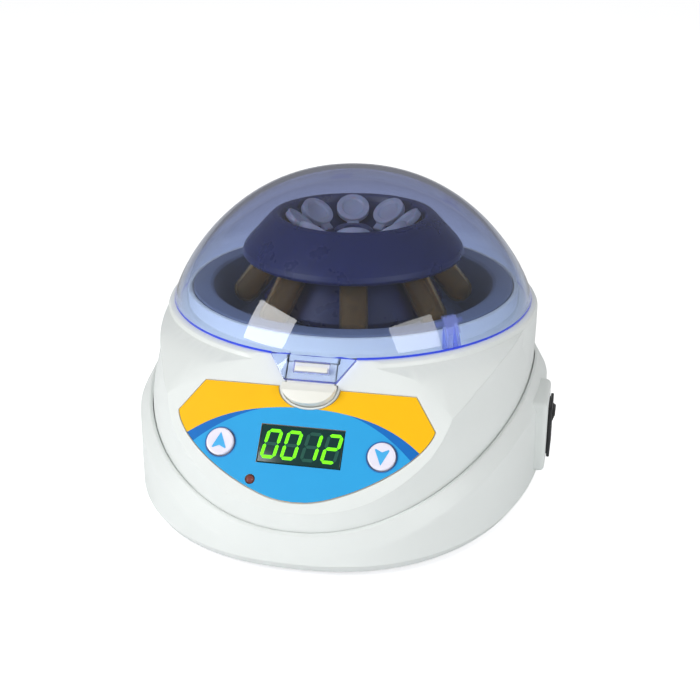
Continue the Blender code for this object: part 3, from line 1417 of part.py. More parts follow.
def make_tubes():
    reach = tube_reach
    inner = tube_radius - tube_wall
    rim_low = reach - tube_rim_thickness
    steps = tube_end_share
    outer = [(tube_radius * math.sin(quarter_turn * (1 - i / steps)),
              -tube_radius * math.cos(quarter_turn * (1 - i / steps))) for i in range(steps + 1)]
    hollow = [(inner * math.sin(quarter_turn * i / steps),
               -inner * math.cos(quarter_turn * i / steps)) for i in range(steps + 1)]
    tube_shape = ([(inner, reach), (tube_rim_radius, reach), (tube_rim_radius, rim_low),
                   (tube_radius, rim_low)] + outer + hollow)
    plug = inner - gap
    cap_low = reach + gap
    cap_high = cap_low + cap_thickness
    cap_shape = [
        (0, cap_high - cap_dish), (cap_radius * 0.62, cap_high - cap_dish),
        (cap_radius * 0.72, cap_high), (cap_radius - gap, cap_high), (cap_radius, cap_high - gap),
        (cap_radius, cap_low), (plug, cap_low), (plug, cap_low - cap_plug_depth),
        (0, cap_low - cap_plug_depth),
    ]
    tip_y, tip_z = -tube_tip_r, tube_tip_z
    for i in range(rotor_places):
        lean = (Matrix.Rotation(tube_turn(i), 4, "Z") @ Matrix.Translation((0, tip_y, tip_z))
                @ Matrix.Rotation(-tube_angle, 4, "X"))
        tube = turned(f"tube_{i + 1}", tube_shape, tube_steps_share, tube_amber)
        smooth(move_mesh(tube, lean))
        cap = turned(f"tube_cap_{i + 1}", cap_shape, tube_steps_share, cap_frost)
        tab = box("tab", (-cap_tab_half, cap_radius * 0.8, cap_low),
                  (cap_tab_half, cap_radius + cap_tab_length, cap_low + cap_thickness / 2),
                  None, cutters)
        join(cap, tab)
        smooth(move_mesh(cap, lean))
        place(cap, f"tube_cap_{i + 1}", parts, cap_frost)


make_upper_housing()
make_lower_housing()
make_base()
make_bowl()
make_lid()
make_hinge_pin()
make_latch()
make_panel()
make_interlock_switch()
make_switch()
make_inlet()
make_supply()
make_motor()
make_rotor()
make_tubes()
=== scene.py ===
import math

import bmesh
import bpy
from mathutils import Matrix, Vector


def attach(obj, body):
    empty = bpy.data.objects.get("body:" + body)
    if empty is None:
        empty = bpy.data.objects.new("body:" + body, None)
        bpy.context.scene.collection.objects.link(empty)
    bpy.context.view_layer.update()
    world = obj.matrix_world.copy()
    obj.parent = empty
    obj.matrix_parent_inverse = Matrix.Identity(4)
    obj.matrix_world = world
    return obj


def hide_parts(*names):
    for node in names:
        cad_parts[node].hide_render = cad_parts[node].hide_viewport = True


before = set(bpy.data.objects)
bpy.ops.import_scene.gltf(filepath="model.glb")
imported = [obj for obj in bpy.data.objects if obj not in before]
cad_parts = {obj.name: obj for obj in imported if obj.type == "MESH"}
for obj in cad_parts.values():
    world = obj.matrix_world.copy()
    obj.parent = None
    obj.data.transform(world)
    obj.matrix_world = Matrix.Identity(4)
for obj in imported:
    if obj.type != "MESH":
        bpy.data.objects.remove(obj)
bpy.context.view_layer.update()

mm = 0.001
fullTurn = math.tau
machineShift = Vector((-2.3631, 13.3, 0)) * mm  # from the rotor's axis to the middle of the footprint
fit = 0.3 * mm  # the gap that seated pieces keep

# The slope that carries the label, keys and latch
panel = {"angle": 48.0, "y": -73.9 * mm, "z": 61.9 * mm}
panelAngle = math.radians(panel["angle"])
panelDown = Vector((0, -math.cos(panelAngle), -math.sin(panelAngle)))
panelOut = Vector((0, -math.sin(panelAngle), math.cos(panelAngle)))


# Small helpers for meshes

def settle(obj, angle=32.0):
    # moves a finished mesh from the rotor's axis to the machine's place and shades it
    obj.data.transform(Matrix.Translation(machineShift))
    obj.data.shade_smooth()
    obj.data.set_sharp_from_angle(angle=math.radians(angle))
    return obj


def meshFrom(bm, name):
    bmesh.ops.remove_doubles(bm, verts=bm.verts, dist=0.002 * mm)
    bmesh.ops.recalc_face_normals(bm, faces=bm.faces)
    mesh = bpy.data.meshes.new(name)
    bm.to_mesh(mesh)
    bm.free()
    obj = bpy.data.objects.new(name, mesh)
    bpy.context.scene.collection.objects.link(obj)
    return obj


def outward(obj):
    bm = bmesh.new()
    bm.from_mesh(obj.data)
    bmesh.ops.recalc_face_normals(bm, faces=bm.faces)
    bm.to_mesh(obj.data)
    bm.free()
    return obj


def freeze(obj):
    # turns the object and its modifiers into a plain mesh
    graph = bpy.context.evaluated_depsgraph_get()
    mesh = bpy.data.meshes.new_from_object(obj.evaluated_get(graph))
    obj.modifiers.clear()
    obj.data = mesh
    return obj


def soften(obj, width, segments=2, angle=35.0):
    edge = obj.modifiers.new("soften", "BEVEL")
    edge.width = width
    edge.segments = segments
    edge.limit_method = "ANGLE"
    edge.angle_limit = math.radians(angle)
    return freeze(obj)


def carve(obj, *tools, operation="DIFFERENCE"):
    for tool in tools:
        step = obj.modifiers.new("carve", "BOOLEAN")
        step.operation = operation
        step.solver = "EXACT"
        step.object = tool
        freeze(obj)
        bpy.data.objects.remove(tool, do_unlink=True)
    return obj


def fuse(obj, *others):
    return carve(obj, *others, operation="UNION")


def joinLoose(obj, *others):
    # several separate solids in one mesh
    bm = bmesh.new()
    for part in (obj, *others):
        bm.from_mesh(part.data)
    bm.to_mesh(obj.data)
    bm.free()
    for part in others:
        bpy.data.objects.remove(part, do_unlink=True)
    return obj


def block(name, low, high, round=0.0, segments=3):
    bm = bmesh.new()
    bmesh.ops.create_cube(bm, size=1.0)
    low, high = Vector(low), Vector(high)
    bmesh.ops.scale(bm, vec=high - low, verts=bm.verts)
    bmesh.ops.translate(bm, vec=(low + high) / 2, verts=bm.verts)
    obj = meshFrom(bm, name)
    return soften(obj, round, segments) if round else obj


def bar(name, radius, start, end, steps=32, endRadius=None):
    bm = bmesh.new()
    start, end = Vector(start), Vector(end)
    line = end - start
    last = radius if endRadius is None else endRadius
    bmesh.ops.create_cone(bm, cap_ends=True, segments=steps, radius1=radius, radius2=last,
                          depth=line.length)
    bmesh.ops.rotate(bm, matrix=line.to_track_quat("Z", "Y").to_matrix(), verts=bm.verts)
    bmesh.ops.translate(bm, vec=(start + end) / 2, verts=bm.verts)
    return meshFrom(bm, name)


def eased(points, radius, closed=True):
    # rounds the corners of an outline with short arcs
    made = []
    count = len(points)
    for i, here in enumerate(points):
        here = Vector(here)
        if not closed and i in (0, count - 1) or here.x < 1e-7:
            made.append(here)
            continue
        before, after = Vector(points[i - 1]), Vector(points[(i + 1) % count])
        inward, onward = before - here, after - here
        turn = math.pi - inward.angle(onward) if inward.length and onward.length else 0
        if turn < math.radians(12):
            made.append(here)
            continue
        reach = min(radius * math.tan(turn / 2), inward.length * 0.45, onward.length * 0.45)
        first, last = here + inward.normalized() * reach, here + onward.normalized() * reach
        steps = 4
        for k in range(steps + 1):
            t = k / steps
            made.append(first * (1 - t) ** 2 + here * 2 * t * (1 - t) + last * t ** 2)
    return [(p.x, p.y) for p in made]


def lathe(name, profile, steps=96, ease=0.0):
    if ease:
        profile = eased(profile, ease)
    mesh = bpy.data.meshes.new(name)
    points = [(max(r, 0), 0, z) for r, z in profile]
    pairs = [(i, (i + 1) % len(points)) for i in range(len(points))]
    edges = [(i, j) for i, j in pairs if points[i][0] > 0 or points[j][0] > 0]
    mesh.from_pydata(points, edges, [])
    obj = bpy.data.objects.new(name, mesh)
    bpy.context.scene.collection.objects.link(obj)
    spin = obj.modifiers.new("spin", "SCREW")
    spin.steps = steps
    spin.render_steps = steps
    spin.use_merge_vertices = True
    spin.merge_threshold = 0.002 * mm
    return outward(freeze(obj))


def flatShape(name, points, low, high):
    curve = bpy.data.curves.new(name, "CURVE")
    curve.dimensions = "2D"
    curve.fill_mode = "BOTH"
    curve.extrude = (high - low) / 2
    spline = curve.splines.new("POLY")
    spline.points.add(len(points) - 1)
    for spot, (x, y) in zip(spline.points, points):
        spot.co = (x, y, 0, 1)
    spline.use_cyclic_u = True
    holder = bpy.data.objects.new(name, curve)
    bpy.context.scene.collection.objects.link(holder)
    graph = bpy.context.evaluated_depsgraph_get()
    mesh = bpy.data.meshes.new_from_object(holder.evaluated_get(graph))
    bpy.data.objects.remove(holder)
    bm = bmesh.new()
    bm.from_mesh(mesh)
    bmesh.ops.translate(bm, vec=(0, 0, (high + low) / 2), verts=bm.verts)
    return meshFrom(bm, name)


panelFrame = Matrix(((-1, 0, 0, 0), (0, panelDown.y, panelOut.y, panel["y"]),
                     (0, panelDown.z, panelOut.z, panel["z"]), (0, 0, 0, 1)))
sideFrame = Matrix(((0, 0, 1, 0), (panelDown.y, panelOut.y, 0, panel["y"]),
                    (panelDown.z, panelOut.z, 0, panel["z"]), (0, 0, 0, 1)))


def panelPoint(across, down, out=0.0):
    return Vector((across, panel["y"], panel["z"])) + panelDown * down + panelOut * out


def moved(obj, matrix):
    obj.data.transform(matrix)
    return outward(obj)


def onPanel(obj):
    return moved(obj, panelFrame)


def panelSheet(name, points, low, high):
    # points are (across, down) seen square on to the panel
    return onPanel(flatShape(name, [(-x, y) for x, y in points], low, high))


def panelBlock(name, half, top, bottom, low, high, centre=0.0, round=0.0):
    return onPanel(block(name, (-centre - half, top, low), (-centre + half, bottom, high), round))


def panelBar(name, radius, across, down, low, high, steps=48):
    return bar(name, radius, panelPoint(across, down, low), panelPoint(across, down, high), steps)


def panelLathe(name, across, down, profile, steps=64, ease=0.0):
    stand = panelOut.to_track_quat("Z", "X").to_matrix().to_4x4()
    return moved(lathe(name, profile, steps, ease),
                 Matrix.Translation(panelPoint(across, down)) @ stand)


def sidePlate(name, points, half):
    return moved(flatShape(name, points, -half, half), sideFrame)


# Small helpers for materials

def paint(code):
    # an sRGB hex value as linear colour
    channels = [int(code[i:i + 2], 16) / 255 for i in (0, 2, 4)]
    linear = [c / 12.92 if c <= 0.04045 else ((c + 0.055) / 1.055) ** 2.4 for c in channels]
    return (*linear, 1.0)


def addNode(tree, kind, settings=None, links=None, **values):
    node = tree.nodes.new(kind)
    for key, value in (settings or {}).items():
        setattr(node, key, value)
    for key, value in values.items():
        node.inputs[key.replace("_", " ")].default_value = value
    for key, source in (links or {}).items():
        tree.links.new(source, node.inputs[key])
    return node


def mixColour(tree, share, under, over):
    tint = addNode(tree, "ShaderNodeMix", {"data_type": "RGBA"})
    tree.links.new(share, tint.inputs[0])
    tree.links.new(under, tint.inputs[6])
    tint.inputs[7].default_value = paint(over)
    return tint.outputs[2]


def finish(name, look):
    # a material from its look: two close colours, a surface grain and what the shader needs
    made = bpy.data.materials.new(name)
    made.use_nodes = True
    tree = made.node_tree
    shader = tree.nodes["Principled BSDF"]
    for socket, value in look.get("shader", {}).items():
        shader.inputs[socket].default_value = value
    place = addNode(tree, "ShaderNodeTexCoord").outputs["Object"]
    cloud = addNode(tree, "ShaderNodeTexNoise", links={"Vector": place},
                    Scale=1 / (look["cloudMm"] * mm), Detail=4.0, Roughness=0.6)
    tint = addNode(tree, "ShaderNodeMix", {"data_type": "RGBA"})
    tint.inputs[6].default_value = paint(look["colour"])
    tint.inputs[7].default_value = paint(look["shade"])
    tree.links.new(cloud.outputs["Fac"], tint.inputs[0])
    colour = tint.outputs[2]
    if "rise" in look:  # painted shade: another tint towards the top, from one height to another
        spot = addNode(tree, "ShaderNodeSeparateXYZ", links={"Vector": place})
        span = addNode(tree, "ShaderNodeMapRange", links={"Value": spot.outputs["Z"]})
        span.inputs["From Min"].default_value = look["rise"][1] * mm
        span.inputs["From Max"].default_value = look["rise"][2] * mm
        colour = mixColour(tree, span.outputs["Result"], colour, look["rise"][0])
    if "edge" in look:  # painted edge light: faces marked as edges are deeper in colour and less clear
        mark = addNode(tree, "ShaderNodeAttribute", {"attribute_name": "edge"})
        colour = mixColour(tree, mark.outputs["Fac"], colour, look["edge"])
        clear = addNode(tree, "ShaderNodeMapRange", links={"Value": mark.outputs["Fac"]})
        clear.inputs["To Min"].default_value = 1.0
        clear.inputs["To Max"].default_value = look["edgeClear"]
        tree.links.new(clear.outputs["Result"], shader.inputs["Transmission Weight"])
    tree.links.new(colour, shader.inputs["Base Color"])
    low, high = look["roughness"]
    polish = addNode(tree, "ShaderNodeMapRange", links={"Value": cloud.outputs["Fac"]})
    polish.inputs["To Min"].default_value = low
    polish.inputs["To Max"].default_value = high
    tree.links.new(polish.outputs["Result"], shader.inputs["Roughness"])
    grain = addNode(tree, "ShaderNodeTexNoise", links={"Vector": place},
                    Scale=1 / (look["grainMm"] * mm), Detail=3.0)
    relief = addNode(tree, "ShaderNodeBump", links={"Height": grain.outputs["Fac"]},
                     Strength=look["grainStrength"], Distance=look.get("grainDepthMm", 0.03) * mm)
    if look.get("edgeMm"):  # the small round that moulded edges have
        edge = addNode(tree, "ShaderNodeBevel", {"samples": 4}, Radius=look["edgeMm"] * mm)
        tree.links.new(edge.outputs["Normal"], relief.inputs["Normal"])
    tree.links.new(relief.outputs["Normal"], shader.inputs["Normal"])
    return made


looks = {
    # injection-moulded ABS: satin, with a fine spark-eroded grain and a soft broad highlight
    "whiteAbsMoulded": {"colour": "E6EAE8", "shade": "E0E5E3", "cloudMm": 45, "roughness": (0.36, 0.44),
                        "grainMm": 0.55, "grainStrength": 0.10, "edgeMm": 0.5,
                        "shader": {"IOR": 1.53, "Specular IOR Level": 0.5}},
    # the latch is from another batch of the same plastic, a little warmer and glossier
    "warmWhiteAbsMoulded": {"colour": "EFEFE8", "shade": "E9E9E0", "cloudMm": 20,
                            "roughness": (0.28, 0.36), "grainMm": 0.5, "grainStrength": 0.06,
                            "edgeMm": 0.3, "shader": {"IOR": 1.53}},
    # polished moulded polycarbonate, tinted blue: clear, with a deep blue painted where it is seen on
    # edge as painted edge light, and a slightly darker tint painted towards the top as painted shade
    "bluePolycarbonatePolished": {"colour": "D6E4FF", "shade": "D2E1FE", "cloudMm": 60,
                                  "roughness": (0.015, 0.025), "grainMm": 18,
                                  "grainStrength": 0.01, "grainDepthMm": 0.05,
                                  # painted shade: the dome is tinted slightly darker from 72 mm up to 106
                                  # mm
                                  "rise": ("D3DAF8", 72, 106), "edge": "3B57F5",
                                  "edgeClear": 0.35, "shader": {"IOR": 1.585}},
    # moulded navy nylon of the rotor: dark, with a clear highlight along its rounded lips
    "navyNylonMoulded": {"colour": "1B2148", "shade": "1F2650", "cloudMm": 14,
                         "roughness": (0.24, 0.32), "grainMm": 0.6, "grainStrength": 0.08,
                         "shader": {"IOR": 1.53, "Specular IOR Level": 0.6}},
    # amber polypropylene tubes: thin, translucent, warmer where the wall is seen on edge
    "amberPolypropyleneMoulded": {"colour": "F8D690", "shade": "F2CC80", "cloudMm": 30,
                                  "roughness": (0.05, 0.08), "grainMm": 3, "grainStrength": 0.02,
                                  "shader": {"IOR": 1.40, "Transmission Weight": 0.95,
                                             "Sheen Weight": 0.7, "Sheen Roughness": 0.18,
                                             "Sheen Tint": paint("FFB428")}},
    # natural polypropylene caps: milky and frosted
    "frostedPolypropyleneMoulded": {"colour": "C3C8D6", "shade": "ADB3C4", "cloudMm": 2.5,
                                    "roughness": (0.3, 0.42), "grainMm": 0.5, "grainStrength": 0.12,
                                    "shader": {"IOR": 1.49, "Transmission Weight": 0.45,
                                               "Subsurface Weight": 0.3,
                                               "Subsurface Scale": 0.002}},
    # slate grey moulded bowl liner
    "slateAbsMoulded": {"colour": "727C92", "shade": "6A748A", "cloudMm": 20,
                        "roughness": (0.38, 0.48), "grainMm": 0.6, "grainStrength": 0.12,
                        "edgeMm": 0.3, "shader": {"IOR": 1.53}},
    # glossy black ABS of the rocker switch and inlet
    "blackAbsMoulded": {"colour": "151619", "shade": "1B1C20", "cloudMm": 7,
                        "roughness": (0.24, 0.34), "grainMm": 0.5, "grainStrength": 0.08,
                        "edgeMm": 0.2, "shader": {"IOR": 1.53}},
    # screen-printed polyester film, three inks under a matt top coat
    "yellowFilmPrinted": {"colour": "F8C000", "shade": "F5B900", "cloudMm": 12,
                          "roughness": (0.42, 0.5), "grainMm": 0.35, "grainStrength": 0.05,
                          "shader": {"IOR": 1.5, "Specular IOR Level": 0.3}},
    "midBlueFilmPrinted": {"colour": "0A70C4", "shade": "0868BA", "cloudMm": 12,
                           "roughness": (0.42, 0.5), "grainMm": 0.35, "grainStrength": 0.05,
                           "shader": {"IOR": 1.5, "Specular IOR Level": 0.3}},
    "lightBlueFilmPrinted": {"colour": "2BA5E2", "shade": "289FDD", "cloudMm": 12,
                             "roughness": (0.42, 0.5), "grainMm": 0.35, "grainStrength": 0.05,
                             "shader": {"IOR": 1.5, "Specular IOR Level": 0.3}},
    # polished smoked acrylic over the display
    "smokedAcrylicPolished": {"colour": "123A38", "shade": "103432", "cloudMm": 10,
                              "roughness": (0.16, 0.22), "grainMm": 6, "grainStrength": 0.02,
                              "shader": {"IOR": 1.49}},
    # lit and unlit bars of the digits
    "litSegmentDiffused": {"colour": "5CE000", "shade": "3CD400", "cloudMm": 1.2,
                           "roughness": (0.4, 0.5), "grainMm": 0.4, "grainStrength": 0.03,
                           "shader": {"Emission Color": paint("86FF00"), "Emission Strength": 0.75}},
    "darkSegmentDiffused": {"colour": "0B5748", "shade": "0A4C40", "cloudMm": 1.2,
                            "roughness": (0.4, 0.5), "grainMm": 0.4, "grainStrength": 0.03},
    # pad-printed keys; the dark blue ring round each key is painted shadow
    "keyAbsMoulded": {"colour": "EDEAF6", "shade": "E4E0F0", "cloudMm": 5,
                      "roughness": (0.3, 0.38), "grainMm": 0.4, "grainStrength": 0.05,
                      "edgeMm": 0.2, "shader": {"IOR": 1.53}},
    "keyInkPrinted": {"colour": "44B2EC", "shade": "3CA9E6", "cloudMm": 4,
                      "roughness": (0.4, 0.48), "grainMm": 0.3, "grainStrength": 0.04},
    "keyRingPaintedShadow": {"colour": "1E62A8", "shade": "2A74BC", "cloudMm": 4,
                          "roughness": (0.4, 0.5), "grainMm": 0.3, "grainStrength": 0.04},
    # tinted epoxy lamp, off
    "redEpoxyCast": {"colour": "8A4640", "shade": "6E322E", "cloudMm": 1.5,
                     "roughness": (0.14, 0.22), "grainMm": 0.6, "grainStrength": 0.04,
                     "shader": {"IOR": 1.55, "Coat Weight": 0.4}},
    "whiteInkPrinted": {"colour": "E8E8E8", "shade": "DCDCDC", "cloudMm": 2,
                        "roughness": (0.45, 0.55), "grainMm": 0.3, "grainStrength": 0.04},
    # nitrile rubber feet and motor mounts
    "nitrileRubberMoulded": {"colour": "191919", "shade": "232323", "cloudMm": 5,
                             "roughness": (0.7, 0.85), "grainMm": 0.45, "grainStrength": 0.3},
    # ground steel pins and bearings, drawn motor can, zinc-plated screws and plates
    "groundSteel": {"colour": "C4C6C9", "shade": "B2B5B9", "cloudMm": 3,
                    "roughness": (0.2, 0.32), "grainMm": 0.35, "grainStrength": 0.12,
                    "shader": {"Metallic": 1.0}},
    "zincPlatedSteel": {"colour": "B6B9B4", "shade": "A6ABA8", "cloudMm": 4,
                        "roughness": (0.3, 0.44), "grainMm": 0.5, "grainStrength": 0.12,
                        "shader": {"Metallic": 1.0}},
    "brassPinsPlated": {"colour": "C9C4B4", "shade": "BDB59E", "cloudMm": 3,
                        "roughness": (0.22, 0.34), "grainMm": 0.4, "grainStrength": 0.06,
                        "shader": {"Metallic": 1.0}},
    "copperWireWound": {"colour": "A65B30", "shade": "8E4A26", "cloudMm": 1.2,
                        "roughness": (0.3, 0.42), "grainMm": 0.5, "grainStrength": 0.5,
                        "shader": {"Metallic": 0.8}},
    "greenBoardMasked": {"colour": "1C6A42", "shade": "175A38", "cloudMm": 4,
                         "roughness": (0.3, 0.42), "grainMm": 0.8, "grainStrength": 0.12},
}
materials = {name: finish(name, look) for name, look in looks.items()}
print("materials made:", len(materials))


# What is made, and what it stands for
pieces = []


def keep(obj, material, body, stands=(), slot=None, angle=32.0):
    settle(obj, angle)
    obj.data.materials.clear()
    obj.data.materials.append(materials[material])
    pieces.append((obj, body, stands, slot))
    return obj


# Plan of the housing
def egg(width, reach, fullness, angle, inset=0.0):
    a, b = width - inset, reach - inset
    c, s = math.cos(angle), math.sin(angle)
    if s >= 0:
        return Vector((a * c, a * s))
    power = 2 / fullness
    return Vector((math.copysign(a * abs(c) ** power, c), -b * abs(s) ** power))


housing = {
    "steps": 168, "ledgeZ": 66.7 * mm, "shoulderZ": 58.0 * mm, "collarRadius": 74.8 * mm,
    "collarChamfer": 1.9 * mm, "browDrop": 2.2 * mm, "browReach": 7.5 * mm, "browSlope": 0.65,
    "wall": 2.4 * mm, "splitSideZ": 43.2 * mm, "splitFrontZ": 17.5 * mm, "waist": 74.6 * mm,
    "levels": [(3.4, 76.0, 109.8, 2.3), (23.64, 75.4, 107.6, 2.3), (43.2, 74.6, 109.0, 2.3),
               (58.0, 72.4, 112.0, 2.05)],
    "lipRadius": 66.3 * mm, "lipTopZ": 72.7 * mm, "lap": 3.0 * mm, "lapClear": 1.2 * mm,
}
skirt = {
    "width": 80.6 * mm, "reach": 111.8 * mm, "fullness": 2.32, "wall": 3.0 * mm,
    "tuck": 2.0 * mm, "round": 1.4 * mm, "creaseDrop": 8.0 * mm, "bottomZ": 3.4 * mm,
    "bulgeZ": 6.6 * mm,
}


def upperPlan(angle, z, inset=0.0):
    rows = housing["levels"]
    z = min(max(z / mm, rows[0][0]), rows[-1][0])
    for low, high in zip(rows, rows[1:]):
        if z <= high[0]:
            share = (z - low[0]) / (high[0] - low[0])
            width, reach, fullness = [p + (q - p) * share for p, q in zip(low[1:], high[1:])]
            return egg(width * mm, reach * mm, fullness, angle, inset)


def splitHeight(x, y):
    if y > 0:
        return housing["splitSideZ"]
    share = min(abs(x) / housing["waist"], 1.0)
    return housing["splitFrontZ"] + (housing["splitSideZ"] - housing["splitFrontZ"]) * share ** 2


planAngles = [fullTurn * (i + 0.5) / housing["steps"] for i in range(housing["steps"])]


def loft(name, rings, shut=False):
    bm = bmesh.new()
    made = [[bm.verts.new(p) for p in ring] for ring in rings]
    pairs = list(zip(made, made[1:]))
    if shut:
        pairs.append((made[-1], made[0]))
    for low, high in pairs:
        for i in range(len(low)):
            j = (i + 1) % len(low)
            bm.faces.new((low[i], low[j], high[j], high[i]))
    if not shut:
        bm.faces.new(made[0])
        bm.faces.new(made[-1])
    return meshFrom(bm, name)


def upperBlock(name, inset, lowZ):
    steps = 10
    top = housing["shoulderZ"]
    levels = [lowZ + (top - lowZ) * i / steps for i in range(steps + 1)]
    levels.append(housing["ledgeZ"] + 2 * mm)
    rings = [[(*upperPlan(t, z, inset), z) for t in planAngles] for z in levels]
    body = loft(name, rings)
    rim = housing["collarRadius"] - inset
    brow = housing["ledgeZ"] - housing["collarChamfer"] - housing["browDrop"] - inset
    first = housing["collarRadius"] + housing["browReach"]
    far = 220 * mm
    crown = lathe("crown", [
        (0, brow + housing["browDrop"]), (rim, brow + housing["browDrop"]), (first, brow),
        (far, brow - (far - first) * housing["browSlope"]), (far, -far), (0, -far),
    ], 128)
    carve(body, crown, operation="INTERSECT")
    ledge = housing["ledgeZ"] - inset
    chamfer = housing["collarChamfer"]
    collar = lathe("collar", [
        (0, ledge), (rim - chamfer, ledge), (rim - chamfer * 0.35, ledge - chamfer * 0.3),
        (rim, ledge - chamfer), (rim, top - inset), (rim - fit, housing["splitSideZ"]),
        (0, housing["splitSideZ"]),
    ], 144)
    fuse(body, collar)
    slope = onPanel(block("slope", (-far, -far, -inset), (far, far, far)))
    return carve(body, slope)


label = {
    "topHalf": 38.2 * mm, "topV": 5.5 * mm, "half": 46.1 * mm, "sideV": 17.3 * mm,
    "bottomV": 47.4 * mm, "curve": 1.5, "top": 0.25 * mm, "recess": 0.5 * mm,
    "tipHalf": 12.0, "tipDrop": 2.73, "tipRise": 0.635, "tipBend": 0.01455,
    "arcTopV": 12.9, "arcSquare": 0.004676, "arcFourth": 1.472e-6,
    "crescentStart": 14.5, "crescentRate": 0.078, "crescentPower": 1.3,
}
latch = {
    "padHalf": 9.8 * mm, "padTopV": 4.3 * mm, "padBottomV": 12.2 * mm, "padHeight": 3.8 * mm,
    "swing": 0.4 * mm, "padGap": 0.3 * mm, "slit": 0.5 * mm,
    "half": 8.7 * mm, "topV": -3.9 * mm, "holeV": -4.3 * mm, "thick": 2.4 * mm,
    "scoopRadius": 14.0 * mm, "scoopDepth": 2.6 * mm, "noseHalf": 6.0 * mm,
    "noseTopV": -1.9 * mm, "noseBottomV": 0.1 * mm, "noseHeight": 2.9 * mm,
    "pivotV": 15.4 * mm, "pivotDepth": 5.4 * mm, "pivotRadius": 2.4 * mm, "slitWidth": 1.0 * mm,
    "slitTopV": -8.0 * mm,
}


def padOutline(grow=0.0, swing=0.0, steps=36):
    top, low = latch["padTopV"] - grow - swing, latch["padBottomV"] + grow
    half = latch["padHalf"] + grow
    return [(half * math.cos(math.pi * i / steps),
             top + (low - top) * math.sin(math.pi * i / steps) ** 0.8) for i in range(steps + 1)]


def labelSide(v):
    # half width of the label where its sides curve in and where its lower tip is rounded
    drop = (label["bottomV"] - v) / mm
    if drop < label["tipDrop"]:
        return math.sqrt(max(drop - label["tipRise"], 0) / label["tipBend"]) * mm
    share = min(max((v - label["sideV"]) / (label["bottomV"] - label["sideV"]), 0), 1)
    return label["half"] * (1 - share ** label["curve"]) ** (1 / label["curve"])


def labelOutline(margin=0.0, steps=40):
    bite = latch["padHalf"] + latch["slit"] + 3 * fit - margin
    rise = latch["padBottomV"] + latch["slit"] + 3 * fit - label["topV"]
    points = []
    for i in range(steps + 1):
        t = math.pi * i / steps
        points.append((-bite * math.cos(t), label["topV"] - margin + rise * math.sin(t)))
    points.append((label["topHalf"] + margin / 2, label["topV"] - margin))
    low = label["bottomV"] - label["sideV"] + margin
    wide = label["half"] + margin
    power = 2 / label["curve"]
    for i in range(2 * steps + 1):
        t = math.pi * i / (2 * steps)
        c = math.cos(t)
        u, v = math.copysign(wide * abs(c) ** power, c), label["sideV"] + low * math.sin(t) ** power
        if abs(u) < label["tipHalf"] * mm:
            drop = label["tipRise"] + label["tipBend"] * (u / mm) ** 2
            v = label["bottomV"] + margin - drop * mm
        points.append((u, v))
    points.append((-label["topHalf"] - margin / 2, label["topV"] - margin))
    return points


display = {"half": 14.8 * mm, "height": 13.6 * mm, "v": 26.8 * mm}
keys = {"flange": 1.3 * mm, "flangeHigh": -2.7 * mm, "flangeLow": -4.1 * mm,
        "plungerRadius": 1.8 * mm, "plungerLow": -4.9 * mm,
        "u": 28.9 * mm, "v": 27.9 * mm, "radius": 4.9 * mm, "stand": 1.3 * mm}
lamp = {"u": -16.2 * mm, "v": 40.1 * mm, "radius": 1.5 * mm}
prong = {"azimuth": 42.5, "inner": 67.1 * mm, "outer": 69.2 * mm, "footZ": 62.6 * mm,
         "topZ": 77.2 * mm, "wall": 1.3 * mm, "spread": 2.4 * mm, "play": 0.6 * mm}
hinge = {"y": 80.2 * mm, "z": 64.0 * mm, "eye": 4.5 * mm, "pin": 1.5 * mm, "lugCentre": 19.0 * mm,
         "lugHalf": 2.6 * mm, "ear": 4.0 * mm, "bottomZ": 49.5 * mm, "back": 0.5 * mm}


def panelHoles(low, high):
    half, tall = display["half"] + fit, display["height"] / 2 + fit
    holes = [panelBlock("hole", half, display["v"] - tall, display["v"] + tall, low, high)]
    for side in (-1, 1):
        holes.append(panelBar("hole", keys["radius"] + fit, side * keys["u"], keys["v"], low, high))
    holes.append(panelBar("hole", lamp["radius"] + fit, lamp["u"], lamp["v"], low, high, 32))
    return holes


